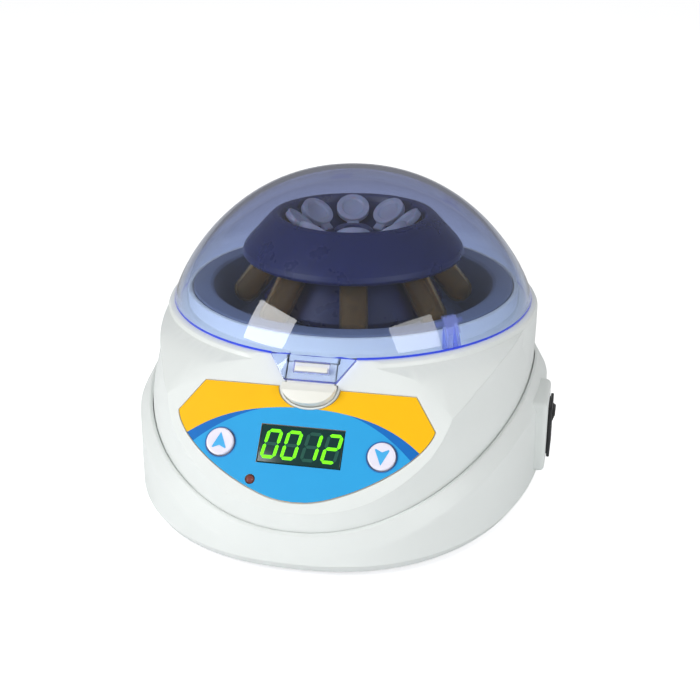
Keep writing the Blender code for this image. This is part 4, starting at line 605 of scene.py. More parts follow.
def makeUpperHousing():
    wall = housing["wall"]
    shell = upperBlock("upperHousing", 0.0, 3.4 * mm)
    hollow = upperBlock("hollow", wall, -2 * mm)
    inner = housing["lipRadius"] - wall + fit
    fuse(hollow, bar("mouth", (inner + housing["lipRadius"]) / 2, (0, 0, housing["splitSideZ"]),
                     (0, 0, housing["ledgeZ"] + 2 * mm), 144))
    carve(shell, hollow)
    shelf, foot, top = 70.7 * mm, housing["ledgeZ"] - wall / 2, housing["lipTopZ"]
    edge, rim, opening = housing["lipRadius"], 64.5 * mm, 58.0 * mm
    soft = 0.5 * mm
    fuse(shell, lathe("lip", [
        (edge - soft, top), (edge - soft * 0.3, top - soft * 0.3), (edge, top - soft), (edge, foot),
        (inner, foot), (inner, shelf - wall), (opening, shelf - wall), (opening, shelf),
        (rim, shelf), (rim, top - soft), (rim + soft * 0.3, top - soft * 0.3), (rim + soft, top),
    ], 144))
    far = 220 * mm
    footZ = housing["splitSideZ"] - housing["lap"] + housing["lapClear"]
    smile = [(-far, footZ)]
    steps = 80
    for i in range(steps + 1):
        x = housing["waist"] * (2 * i / steps - 1)
        smile.append((x, splitHeight(x, -1) - housing["lap"] + housing["lapClear"]))
    smile += [(far, footZ), (far, -far), (-far, -far)]
    front = moved(flatShape("front", smile, 0, far), Matrix.Rotation(math.pi / 2, 4, "X"))
    back = block("back", (-far, -2 * mm, -far), (far, far, footZ))
    carve(shell, front, back)
    recess = panelSheet("recess", labelOutline(fit), -label["recess"], 2 * mm)
    carve(shell, recess, *panelHoles(-2 * wall, 2 * mm))
    deep = -latch["pivotDepth"] - latch["pivotRadius"]
    half = latch["half"]
    carve(shell, panelBlock("window", half + latch["slit"], latch["holeV"],
                            latch["padTopV"] + latch["slit"], deep, 2 * mm))
    for side in (-1, 1):
        carve(shell, panelBlock("slit", latch["slitWidth"] / 2, latch["slitTopV"], latch["topV"],
                                deep / 2, 4 * mm, centre=side * (half + latch["slitWidth"] / 2)))
    carve(shell, panelSheet("padHole", padOutline(latch["padGap"], latch["swing"]), deep, 2 * mm))
    halfSlot = prong["spread"] + prong["wall"] / 2 + prong["play"]
    slot = block("slot", (-halfSlot, -prong["outer"] - prong["play"], housing["shoulderZ"]),
                 (halfSlot, -housing["lipRadius"] - fit, housing["ledgeZ"] + 2 * mm))
    carve(shell, moved(slot, Matrix.Rotation(math.radians(prong["azimuth"]), 4, "Z")))
    wide = hinge["lugCentre"] + hinge["lugHalf"] + fit + hinge["ear"]
    backY = hinge["y"] + hinge["eye"] + hinge["back"]
    root = block("root", (-wide, housing["collarRadius"] - 2 * wall, hinge["bottomZ"]),
                 (wide, backY, hinge["z"] - hinge["eye"] - fit))
    fuse(shell, root)
    end = hinge["lugCentre"] - hinge["lugHalf"] - fit
    for low, high in ((-wide, -wide + hinge["ear"]), (-end, end), (wide - hinge["ear"], wide)):
        fuse(shell, block("stem", (low, hinge["y"] - hinge["eye"] + fit, hinge["bottomZ"] + fit),
                          (high, backY, hinge["z"])),
             bar("eye", hinge["eye"], (low, hinge["y"], hinge["z"]),
                 (high, hinge["y"], hinge["z"]), 40))
    carve(shell, bar("pinHole", hinge["pin"] + fit, (-wide - mm, hinge["y"], hinge["z"]),
                     (wide + mm, hinge["y"], hinge["z"]), 24))
    keep(shell, "whiteAbsMoulded", "housing", ["upper_housing"], "white_abs", 26)


def planRing(inset, z=None, drop=0.0):
    ring = []
    for t in planAngles:
        p = egg(skirt["width"], skirt["reach"], skirt["fullness"], t, inset)
        ring.append((p.x, p.y, splitHeight(p.x, p.y) - drop if z is None else z))
    return ring


def splitRing(inset, drop):
    ring = []
    for t in planAngles:
        guess = upperPlan(t, housing["splitSideZ"])
        z = splitHeight(guess.x, guess.y) - drop
        p = upperPlan(t, z, inset)
        ring.append((p.x, p.y, splitHeight(p.x, p.y) - drop))
    return ring


def between(low, high, share):
    return [tuple(Vector(a).lerp(Vector(b), share)) for a, b in zip(low, high)]


switch = {"y": -20.0 * mm, "z": 24.0 * mm, "padHalfY": 13.0 * mm, "padHalfZ": 14.6 * mm,
          "padX": 82.5 * mm, "halfY": 7.5 * mm, "halfZ": 10.5 * mm, "flange": 1.2 * mm,
          "bodyY": 6.4 * mm, "bodyZ": 9.5 * mm, "deep": 15.0 * mm, "pocketY": 5.2 * mm,
          "pocketZ": 8.7 * mm, "pocketDeep": 9.0 * mm, "pivot": 3.0 * mm, "rockerY": 4.8 * mm,
          "rockerZ": 7.9 * mm, "face": 3.0 * mm, "hollow": 0.7 * mm, "back": 2.6 * mm,
          "tilt": 10.0}
inlet = {"z": 23.0 * mm, "padHalfX": 17.5 * mm, "padHalfZ": 13.2 * mm, "padY": 81.8 * mm,
         "halfX": 14.5 * mm, "halfZ": 11.2 * mm, "flange": 1.6 * mm, "bodyX": 12.6 * mm,
         "bodyZ": 9.2 * mm, "deep": 15.0 * mm, "wall": 1.6 * mm, "pinX": 1.0 * mm,
         "pinZ": 2.0 * mm, "spread": 7.0 * mm, "drop": 2.6 * mm, "pinLength": 9.0 * mm}


def makeLowerHousing():
    wall = skirt["wall"]
    grooveLip = splitRing(-fit, 0)
    shoulder = splitRing(-fit - skirt["round"], skirt["round"] / 2)
    crease = planRing(fit, drop=skirt["creaseDrop"])
    bulge = planRing(0, z=skirt["bulgeZ"])
    foot = planRing(skirt["tuck"], z=skirt["bottomZ"])
    soft = splitRing(-fit - skirt["round"] * 0.6, skirt["round"] * 0.12)
    body = loft("lowerHousing", [
        grooveLip, soft, shoulder, between(shoulder, crease, 0.35), between(shoulder, crease, 0.9),
        crease, between(crease, bulge, 0.08), between(crease, bulge, 0.5), between(crease, bulge, 0.94),
        bulge, between(bulge, foot, 0.3), between(bulge, foot, 0.8), foot,
        planRing(skirt["tuck"] + wall - fit, z=skirt["bottomZ"]),
        planRing(skirt["tuck"] + wall - fit, z=skirt["bulgeZ"]),
        planRing(wall + fit, drop=skirt["creaseDrop"] + fit),
        splitRing(housing["wall"] + fit, housing["lap"] + skirt["round"]),
        splitRing(housing["wall"] + fit, housing["lap"]),
        splitRing(-fit, housing["lap"]),
    ], shut=True)
    lowX = 74.6 * mm - wall
    fuse(body, block("pad", (lowX, switch["y"] - switch["padHalfY"], switch["z"] - switch["padHalfZ"]),
                     (switch["padX"], switch["y"] + switch["padHalfY"],
                      switch["z"] + switch["padHalfZ"]), 2.0 * mm, 5),
         block("rear", (-inlet["padHalfX"], lowX, inlet["z"] - inlet["padHalfZ"]),
               (inlet["padHalfX"], inlet["padY"], inlet["z"] + inlet["padHalfZ"]), 2.0 * mm, 5))
    y, z = switch["bodyY"] + fit, switch["bodyZ"] + fit
    carve(body, block("hole", (lowX - mm, switch["y"] - y, switch["z"] - z),
                      (switch["padX"] + mm, switch["y"] + y, switch["z"] + z)))
    x, z = inlet["bodyX"] + fit, inlet["bodyZ"] + fit
    carve(body, block("hole", (-x, lowX - mm, inlet["z"] - z), (x, inlet["padY"] + mm, inlet["z"] + z)))
    keep(body, "whiteAbsMoulded", "housing", ["lower_housing"], "white_abs", 30)


lid = {"radius": 72.4 * mm, "height": 50.2 * mm, "wall": 2.2 * mm, "rimZ": 67.0 * mm,
       "widthPower": 0.88, "heightPower": 1.54, "steps": 144, "rings": 40,
       "tabTopHalf": 15.7 * mm, "tabBottomHalf": 9.6 * mm, "tabThick": 2.2 * mm,
       "tabBottomV": 3.3 * mm, "tabTopV": -6.6 * mm, "wingV": -6.0 * mm, "slotHalf": 6.5 * mm,
       "slotTopV": -3.9 * mm, "slotBottomV": 0.4 * mm}


def domePoint(share, inset):
    t = math.pi / 2 * share
    return ((lid["radius"] - inset) * max(math.cos(t), 0) ** lid["widthPower"],
            lid["rimZ"] + (lid["height"] - inset) * math.sin(t) ** lid["heightPower"])


def domeRadius(z, inset):
    rise = min((z - lid["rimZ"]) / (lid["height"] - inset), 1.0) ** (1 / lid["heightPower"])
    return (lid["radius"] - inset) * math.sqrt(1 - rise * rise) ** lid["widthPower"]


def paintEdgeLight(dome):
    # painted edge light: the rim, the side faces of the tab and its slot, and the ribs get a deep blue
    # for the light that gathers there
    mark = dome.data.attributes.new("edge", "FLOAT", "FACE")
    way = math.radians(prong["azimuth"] - 90)
    ribWay = Vector((math.cos(way), math.sin(way)))
    for face in dome.data.polygons:
        spot = face.center
        rim = spot.z < lid["rimZ"] + 1.3 * mm and spot.xy.length > lid["radius"] - lid["wall"]
        tab = spot.y < -lid["radius"] + 4 * mm and spot.z < lid["rimZ"] + mm
        rib = abs(spot.xy.cross(ribWay)) < 4 * mm and spot.xy.dot(ribWay) > prong["inner"] - 4 * mm
        rib = rib and spot.z < prong["topZ"] + mm and spot.xy.length < lid["radius"] - lid["wall"] * 0.9
        if tab and abs(spot.x) < lid["tabTopHalf"] + mm:
            side = abs(face.normal.dot(panelOut)) < 0.5
            shown = 0.75 if side else 0.0
        else:
            shown = 1.0 if rim else 0.45 if rib else 0.0
        mark.data[face.index].value = shown


def makeLid():
    rings = lid["rings"]
    outer = [domePoint(1 - i / rings, 0) for i in range(rings)]
    inner = [domePoint(i / rings, lid["wall"]) for i in range(1, rings + 1)]
    outer[0], inner[-1] = (0, outer[0][1]), (0, inner[-1][1])
    r, z, soft = lid["radius"], lid["rimZ"], 0.45 * mm
    outer = [p for p in outer if p[1] > z + 2 * soft]
    inner = [p for p in inner if p[1] > z + 2 * soft]
    rim = [(r - soft * 0.1, z + soft), (r - soft * 0.4, z + soft * 0.2), (r - soft, z),
           (r - lid["wall"] + soft, z), (r - lid["wall"] + soft * 0.3, z + soft * 0.3)]
    dome = lathe("lidDome", outer + rim + inner, lid["steps"])
    top, low = lid["tabTopV"], lid["tabBottomV"]
    wide, narrow = lid["tabTopHalf"], lid["tabBottomHalf"]
    tab = flatShape("tab", [(-narrow, top), (narrow, top), (wide, lid["wingV"]), (narrow, low),
                            (-narrow, low), (-wide, lid["wingV"])], fit, fit + lid["tabThick"])
    tab = onPanel(soften(tab, 0.35 * mm, 2))
    fuse(dome, tab)
    carve(dome, panelBlock("slot", lid["slotHalf"], lid["slotTopV"], lid["slotBottomV"], -2 * mm,
                           lid["tabThick"] + 2 * mm))
    stand = Matrix(((0, 0, 1, 0), (-1, 0, 0, 0), (0, 1, 0, 0), (0, 0, 0, 1)))
    facing = Matrix.Rotation(math.radians(prong["azimuth"]), 4, "Z") @ stand
    half = lid["wall"] / 2
    middle = (lid["rimZ"] + prong["topZ"]) / 2
    shape = [(prong["inner"], prong["footZ"]), (prong["outer"], prong["footZ"]),
             (prong["outer"], lid["rimZ"]), (lid["radius"] - half, lid["rimZ"] + fit),
             (domeRadius(middle, half), middle), (domeRadius(prong["topZ"], half), prong["topZ"])]
    for side in (-1, 1):
        centre = side * prong["spread"]
        rib = flatShape("rib", shape, centre - prong["wall"] / 2, centre + prong["wall"] / 2)
        fuse(dome, moved(rib, facing))
    for side in (-1, 1):
        low = side * hinge["lugCentre"] - hinge["lugHalf"]
        high = side * hinge["lugCentre"] + hinge["lugHalf"]
        fuse(dome, block("arm", (low, math.sqrt(lid["radius"] ** 2 - high ** 2) - lid["wall"],
                                 lid["rimZ"]), (high, hinge["y"], hinge["z"] + hinge["eye"])),
             bar("eye", hinge["eye"], (low, hinge["y"], hinge["z"]),
                 (high, hinge["y"], hinge["z"]), 40))
        carve(dome, bar("hole", hinge["pin"] + fit, (low - mm, hinge["y"], hinge["z"]),
                        (high + mm, hinge["y"], hinge["z"]), 24))
    # painted edge light: a deep blue on the rim, the tab sides and the ribs
    paintEdgeLight(dome)
    keep(dome, "bluePolycarbonatePolished", "lid", ["lid_dome"], "clear_blue_polycarbonate", 28)
    dome.visible_shadow = False  # the lamps shine through the clear lid


def makeLatch():
    low = -latch["thick"]
    lever = panelBlock("latchLever", latch["half"], latch["topV"], latch["padTopV"] + 2 * mm, low, 0)
    pad = panelSheet("pad", padOutline(), low + fit, latch["padHeight"])
    down = latch["padTopV"] - latch["scoopRadius"] * 0.35
    out = latch["padHeight"] + latch["scoopRadius"] - latch["scoopDepth"]
    wide = 2 * latch["padHalf"]
    carve(pad, bar("scoop", latch["scoopRadius"], panelPoint(-wide, down, out),
                   panelPoint(wide, down, out), 160))
    soften(pad, 0.35 * mm, 3, 40)
    nose = sidePlate("nose", [
        (latch["noseTopV"], low / 2), (latch["noseTopV"], latch["noseHeight"] - fit),
        (latch["noseBottomV"], latch["noseHeight"]), (latch["noseBottomV"], low / 2),
    ], latch["noseHalf"])
    soften(nose, 0.2 * mm, 2)
    depth, pivotV, pivotRadius = latch["pivotDepth"], latch["pivotV"], latch["pivotRadius"]
    link = latch["padBottomV"] - latch["padHeight"]
    under = -housing["wall"] - 2 * fit
    mid = latch["padBottomV"] - latch["padHeight"] / 2
    arm = sidePlate("arm", [
        (link, low / 2), (link, -depth), (pivotV, -depth - pivotRadius / 2),
        (pivotV, -depth + pivotRadius / 2), (latch["padBottomV"], under), (mid, under),
        (mid, low / 2),
    ], latch["noseHalf"])
    barrel = bar("barrel", pivotRadius, panelPoint(-latch["half"], pivotV, -depth),
                 panelPoint(latch["half"], pivotV, -depth), 32)
    fuse(lever, pad, nose, arm, barrel)
    carve(lever, bar("hole", 1.3 * mm, panelPoint(-wide, pivotV, -depth),
                     panelPoint(wide, pivotV, -depth), 24))
    keep(lever, "warmWhiteAbsMoulded", "latch", ["latch_lever"], "warm_white_abs", 30)


def arcV(u):
    return (label["arcTopV"] + label["arcSquare"] * u ** 2 + label["arcFourth"] * u ** 4) * mm


def innerArcV(u):
    past = max(abs(u) - label["crescentStart"], 0)
    return arcV(u) + label["crescentRate"] * past ** label["crescentPower"] * mm


def fieldOutline(arc, steps=60):
    # the part of the label under an arc, down to the label's lower edge
    edge = next(u / 10 for u in range(300, 461) if labelSide(arc(u / 10)) <= u / 10 * mm)
    points = []
    for i in range(steps + 1):
        u = edge * (2 * i / steps - 1)
        points.append((u * mm, arc(u)))
    tip = label["bottomV"] - label["tipRise"] * mm
    side = [arc(edge) + (tip - arc(edge)) * i / steps for i in range(1, steps + 1)]
    points += [(labelSide(v), v) for v in side]
    points += [(-labelSide(v), v) for v in reversed(side[:-1])]
    return points


def makeLabel():
    top = label["top"]
    film = 0.03 * mm
    base = panelSheet("labelYellow", labelOutline(0), -0.2 * mm, top - 2 * film)
    mid = panelSheet("labelMidBlue", fieldOutline(arcV), top - 2 * film, top - film)
    field = panelSheet("labelLightBlue", fieldOutline(innerArcV), top - film, top)
    bite = padOutline(latch["slit"] + 2.5 * fit)
    for sheet in (mid, field):
        carve(sheet, panelSheet("bite", bite, -mm, mm))
    for sheet in (base, mid, field):
        carve(sheet, *panelHoles(-mm, mm))
    keep(base, "yellowFilmPrinted", "housing", ["control_label"], "printed_film")
    keep(mid, "midBlueFilmPrinted", "housing", (), "printed_film")
    keep(field, "lightBlueFilmPrinted", "housing", (), "printed_film")


digits = {"shift": 0.3 * mm, "width": 4.5 * mm, "height": 9.6 * mm, "bar": 1.15 * mm, "pitch": 7.2 * mm,
          "slant": 0.17, "shown": "0012", "gap": 0.14 * mm}
litBars = {"0": "abcdef", "1": "bc", "2": "abged"}


def digitBar(letter):
    # a bar of the digit as a six-sided outline, across and up from the digit's middle
    half, tall, w = digits["width"] / 2, digits["height"] / 2, digits["bar"] / 2
    g = digits["gap"]
    lines = {"a": ((-half, tall), (half, tall)), "b": ((half, tall), (half, 0)),
             "c": ((half, 0), (half, -tall)), "d": ((-half, -tall), (half, -tall)),
             "e": ((-half, 0), (-half, -tall)), "f": ((-half, tall), (-half, 0)),
             "g": ((-half, 0), (half, 0))}
    start, end = (Vector(p) for p in lines[letter])
    way = (end - start).normalized()
    side = Vector((-way.y, way.x)) * w
    start, end = start + way * g, end - way * g
    points = [start, start + way * w + side, end - way * w + side, end, end - way * w - side,
              start + way * w - side]
    return [(p.x + p.y * digits["slant"], p.y) for p in points]


def makeDisplay():
    top = label["top"]
    half, tall, v = display["half"], display["height"] / 2, display["v"]
    window = panelBlock("displayWindow", half, v - tall, v + tall, top - 1.9 * mm, top, round=0.25 * mm)
    keep(window, "smokedAcrylicPolished", "housing", ["display_window"], "smoked_acrylic")
    lit, dark = [], []
    for i, number in enumerate(digits["shown"]):
        centre = (i - 1.5) * digits["pitch"] + digits["shift"]
        for letter in "abcdefg":
            points = [(centre + x, v - y) for x, y in digitBar(letter)]
            shown = letter in litBars[number]
            sheet = panelSheet("bar", points, top - 0.05 * mm, top + (0.03 if shown else 0.02) * mm)
            (lit if shown else dark).append(sheet)
    keep(joinLoose(*lit), "litSegmentDiffused", "housing", (), "smoked_acrylic").name = "litSegments"
    keep(joinLoose(*dark), "darkSegmentDiffused", "housing", (), "smoked_acrylic").name = "darkSegments"


def makeKeys():
    top = label["top"] + keys["stand"]
    radius = keys["radius"]
    for side, node, body in ((-1, "up_button", "up_key"), (1, "down_button", "down_key")):
        u, v = side * keys["u"], keys["v"]
        cap = panelLathe(body + "Cap", u, v, [
            (0, top - 0.25 * mm), (radius * 0.55, top - 0.18 * mm), (radius * 0.86, top),
            (radius - 0.12 * mm, top - 0.12 * mm), (radius, top - 0.5 * mm), (radius, keys["flangeHigh"]),
            (radius + keys["flange"], keys["flangeHigh"]), (radius + keys["flange"], keys["flangeLow"]),
            (keys["plungerRadius"], keys["flangeLow"]), (keys["plungerRadius"], keys["plungerLow"]),
            (0, keys["plungerLow"]),
        ], 72, 0.15 * mm)
        keep(cap, "keyAbsMoulded", body, [node], "white_button_abs")
        arrow = [(0, 3.4), (2.9, -2.8), (0, -1.4), (-2.9, -2.8)]
        points = [(u + x * mm, v + side * y * mm) for x, y in arrow]
        mark = panelSheet(body + "Arrow", points, top - 0.5 * mm, top - 0.10 * mm)
        keep(mark, "keyInkPrinted", body, (), "white_button_abs")
        # painted shadow: a thin dark blue ring on the label round each key stands in for the shade the
        # raised key casts
        ring = panelLathe(body + "Ring", u, v, [
            (radius + 0.75 * mm, label["top"]), (radius + 0.75 * mm, label["top"] + 0.03 * mm),
            (radius + fit, label["top"] + 0.03 * mm), (radius + fit, label["top"]),
        ], 72)
        keep(ring, "keyRingPaintedShadow", "housing", (), "printed_film")
    r, top = lamp["radius"], label["top"]
    lens = panelLathe("lampLens", lamp["u"], lamp["v"], [
        (0, top + r * 0.5), (r * 0.4, top + r * 0.46), (r * 0.75, top + r * 0.3), (r, top - 0.2 * mm),
        (r, -3 * mm), (r * 1.3, -3 * mm), (r * 1.3, -8.7 * mm), (0, -8.7 * mm),
    ], 40, 0.1 * mm)
    keep(lens, "redEpoxyCast", "housing", ["status_lamp"], "red_lamp_epoxy")


bowl = {"flange": 64.2 * mm, "topZ": 73.0 * mm, "mouth": 55.7 * mm, "wall": 2.0 * mm,
        "floor": 50.6 * mm, "floorZ": 50.2 * mm, "boss": 8.0 * mm, "bossHeight": 6.8 * mm}


def makeBowl():
    top, wall = bowl["topZ"], bowl["wall"]
    lower = top - wall
    mouth, floor, floorZ = bowl["mouth"], bowl["floor"], bowl["floorZ"]
    keep(lathe("chamberBowl", [
        (bowl["flange"], top), (bowl["flange"], lower), (mouth + wall, lower),
        (mouth + wall - 0.15 * mm, lower - wall), (floor + wall, floorZ + wall / 2),
        (floor, floorZ - wall), (bowl["boss"], floorZ - wall),
        (bowl["boss"], floorZ + bowl["bossHeight"]),
        (bowl["boss"] + wall, floorZ + bowl["bossHeight"]), (bowl["boss"] + wall, floorZ),
        (floor - wall * 0.9, floorZ), (floor, floorZ + wall * 0.9), (mouth, lower),
        (mouth + 0.6 * mm, top - 0.6 * mm), (mouth + wall * 0.9, top),
    ], 128, 0.8 * mm), "slateAbsMoulded", "housing", ["chamber_bowl"], "grey_abs")


rotor = {
    "places": 8, "tubeAngle": 38.0, "tipR": 43.0 * mm, "tipZ": 67.9 * mm, "front": 11.7,
    "tubeRadius": 5.4 * mm, "tubeWall": 1.0 * mm, "reach": 34.4 * mm, "rim": 6.3 * mm,
    "rimThick": 0.9 * mm, "seat": 32.6 * mm, "capRadius": 6.7 * mm, "capThick": 2.6 * mm,
    "edge": 29.4 * mm, "edgeZ": 100.7 * mm, "skirt": 44.2 * mm, "skirtZ": 84.0 * mm,
    "wall": 3.0 * mm, "hub": 9.5 * mm, "hubZ": 88.5 * mm, "lowZ": 62.8 * mm, "clear": 1.2 * mm,
    "bore": 3.3 * mm,
}


def rotorProfile():
    lean = math.radians(rotor["tubeAngle"])
    rise = math.tan(lean)
    seatR = rotor["tipR"] - rotor["seat"] * math.sin(lean)
    seatZ = rotor["tipZ"] + rotor["seat"] * math.cos(lean)
    wall, edge, wide, hub = rotor["wall"], rotor["edge"], rotor["skirt"], rotor["hub"]
    lip, low = wall * 0.55, rotor["lowZ"]
    dish = hub + wall * 0.8
    drop = wall / math.cos(lean)
    across = rotor["tubeRadius"] / math.cos(lean) + rotor["clear"]
    edgeZ, skirtZ = rotor["edgeZ"], rotor["skirtZ"]

    def seat(r):
        return seatZ + (r - seatR) * rise

    def cone(z):
        return rotor["tipR"] - across - (z - rotor["tipZ"]) * rise

    knee = (seatZ - drop + rise * (rotor["tipR"] - across + rotor["tipZ"] * rise - seatR)) / (
        1 + rise * rise)
    coneLow = rotor["tipZ"] - wall * 0.6
    return [
        (rotor["bore"], rotor["hubZ"]), (hub, rotor["hubZ"]), (hub, seat(dish)), (dish, seat(dish)),
        (edge - lip * 0.9, seat(edge - lip * 0.9)), (edge - lip * 0.4, edgeZ - lip * 0.4),
        (edge + lip * 0.4, edgeZ), (edge + lip * 1.5, edgeZ - lip * 0.35),
        (edge + lip * 2.7, edgeZ - lip * 1.4), (wide - lip * 1.5, skirtZ + lip * 3.6),
        (wide - lip * 0.4, skirtZ + lip * 2.1), (wide, skirtZ + lip),
        (wide - lip * 0.3, skirtZ + lip * 0.25), (wide - lip, skirtZ),
        (wide - lip * 2.1, skirtZ + lip * 0.6), (edge + lip * 1.1, seat(edge) - drop + wall * 0.2),
        (edge, seat(edge) - drop), (cone(knee), knee), (cone(coneLow), coneLow),
        (cone(coneLow) - lip, low), (cone(coneLow) - 2 * lip, low),
        (cone(coneLow) - 2 * lip, low + lip), (hub, seat(dish) - drop * 2), (hub, low + lip),
        (rotor["bore"], low + lip),
    ]


def leanPlace(index):
    return (Matrix.Rotation(fullTurn * index / rotor["places"] + math.radians(rotor["front"]), 4, "Z")
            @ Matrix.Translation((0, -rotor["tipR"], rotor["tipZ"]))
            @ Matrix.Rotation(-math.radians(rotor["tubeAngle"]), 4, "X"))


def aroundRotor(obj, material):
    # Geometry Nodes: the mesh repeated round the rotor's axis
    tree = bpy.data.node_groups.new("aroundRotor", "GeometryNodeTree")
    face = tree.interface
    face.new_socket("Geometry", in_out="INPUT", socket_type="NodeSocketGeometry")
    count = face.new_socket("Places", in_out="INPUT", socket_type="NodeSocketInt")
    step = face.new_socket("Turn step", in_out="INPUT", socket_type="NodeSocketFloat")
    face.new_socket("Geometry", in_out="OUTPUT", socket_type="NodeSocketGeometry")
    start = addNode(tree, "NodeGroupInput")
    points = addNode(tree, "GeometryNodePoints", links={"Count": start.outputs["Places"]})
    index = addNode(tree, "GeometryNodeInputIndex")
    angle = addNode(tree, "ShaderNodeMath", {"operation": "MULTIPLY"})
    tree.links.new(index.outputs[0], angle.inputs[0])
    tree.links.new(start.outputs["Turn step"], angle.inputs[1])
    turn = addNode(tree, "ShaderNodeCombineXYZ", links={"Z": angle.outputs[0]})
    copies = addNode(tree, "GeometryNodeInstanceOnPoints", links={
        "Points": points.outputs[0], "Instance": start.outputs["Geometry"]})
    tree.links.new(turn.outputs[0], copies.inputs["Rotation"])
    real = addNode(tree, "GeometryNodeRealizeInstances", links={"Geometry": copies.outputs[0]})
    coat = addNode(tree, "GeometryNodeSetMaterial", links={"Geometry": real.outputs[0]})
    coat.inputs["Material"].default_value = material
    end = addNode(tree, "NodeGroupOutput")
    tree.links.new(coat.outputs[0], end.inputs[0])
    repeat = obj.modifiers.new("aroundRotor", "NODES")
    repeat.node_group = tree
    repeat[count.identifier] = rotor["places"]
    repeat[step.identifier] = fullTurn / rotor["places"]
    return freeze(obj)


rotorNut = {
    "high": 5.2 * mm, "faceRadius": 6.6 * mm, "radius": 7.6 * mm, "shoulder": 4.4 * mm,
    "flutes": 12, "fluteAt": 8.2 * mm, "fluteRadius": 1.0 * mm, "fluteHigh": 7 * mm,
}


def makeRotor():
    bell = lathe("rotorBell", rotorProfile()[::-1], 144, 0.7 * mm)
    wells = bar("wells", rotor["tubeRadius"] + fit, (0, 0, -rotor["tubeRadius"]),
                (0, 0, rotor["reach"] * 1.3), 40)
    moved(wells, leanPlace(0))
    aroundRotor(wells, materials["navyNylonMoulded"])
    carve(bell, wells)
    keep(bell, "navyNylonMoulded", "rotor", ["rotor_body"], "navy_abs", 30)

    nutLow = rotor["hubZ"] + fit
    nut = lathe("rotorNut", [
        (rotor["bore"], nutLow + rotorNut["high"]), (rotorNut["faceRadius"], nutLow + rotorNut["high"]),
        (rotorNut["radius"], nutLow + rotorNut["shoulder"]), (rotorNut["radius"], nutLow),
        (rotor["bore"], nutLow),
    ], 96, 0.5 * mm)
    flutes = []
    for i in range(rotorNut["flutes"]):
        t = fullTurn * i / rotorNut["flutes"]
        x, y = rotorNut["fluteAt"] * math.cos(t), rotorNut["fluteAt"] * math.sin(t)
        flutes.append(bar("flute", rotorNut["fluteRadius"], (x, y, nutLow - mm),
                          (x, y, nutLow + rotorNut["fluteHigh"]), 20))
    carve(nut, joinLoose(*flutes))
    keep(nut, "navyNylonMoulded", "rotor", ["rotor_nut"], "navy_abs")


def makeTubes():
    reach, outerR = rotor["reach"], rotor["tubeRadius"]
    innerR = outerR - rotor["tubeWall"]
    steps = 10
    quarter = math.pi / 2
    outer = [(outerR * math.cos(quarter * i / steps), -outerR * math.sin(quarter * i / steps))
             for i in range(steps + 1)]
    inner = [(innerR * math.sin(quarter * i / steps), -innerR * math.cos(quarter * i / steps))
             for i in range(steps + 1)]
    outer[-1], inner[0] = (0, -outerR), (0, -innerR)
    low = reach - rotor["rimThick"]
    soft = 0.2 * mm
    tube = lathe("sampleTubes", [
        (innerR, reach), (rotor["rim"] - soft, reach), (rotor["rim"], reach - soft),
        (rotor["rim"], low + soft), (rotor["rim"] - soft, low), (outerR, low),
        (outerR, reach * 0.62), (outerR, reach * 0.3)] + outer + inner
        + [(innerR, reach * 0.3), (innerR, reach * 0.62)], 40)
    moved(tube, leanPlace(0))
    aroundRotor(tube, materials["amberPolypropyleneMoulded"])
    names = [f"tube_{i + 1}" for i in range(rotor["places"])]
    keep(tube, "amberPolypropyleneMoulded", "rotor", names, "amber_polypropylene")

    radius, low = rotor["capRadius"], reach + fit
    high = low + rotor["capThick"]
    plug = innerR - fit
    cap = lathe("tubeCaps", [
        (0, high - 0.8 * mm), (radius * 0.6, high - 0.8 * mm), (radius * 0.7, high),
        (radius, high), (radius, low), (plug, low), (plug, low - 4 * mm), (0, low - 4 * mm),
    ], 40, 0.35 * mm)
    tongue = block("tongue", (-2.4 * mm, radius * 0.8, low), (2.4 * mm, radius + 2.6 * mm,
                                                             low + rotor["capThick"] / 2), 0.3 * mm)
    fuse(cap, tongue)
    moved(cap, leanPlace(0))
    aroundRotor(cap, materials["frostedPolypropyleneMoulded"])
    names = [f"tube_cap_{i + 1}" for i in range(rotor["places"])]
    keep(cap, "frostedPolypropyleneMoulded", "rotor", names, "frosted_polypropylene")


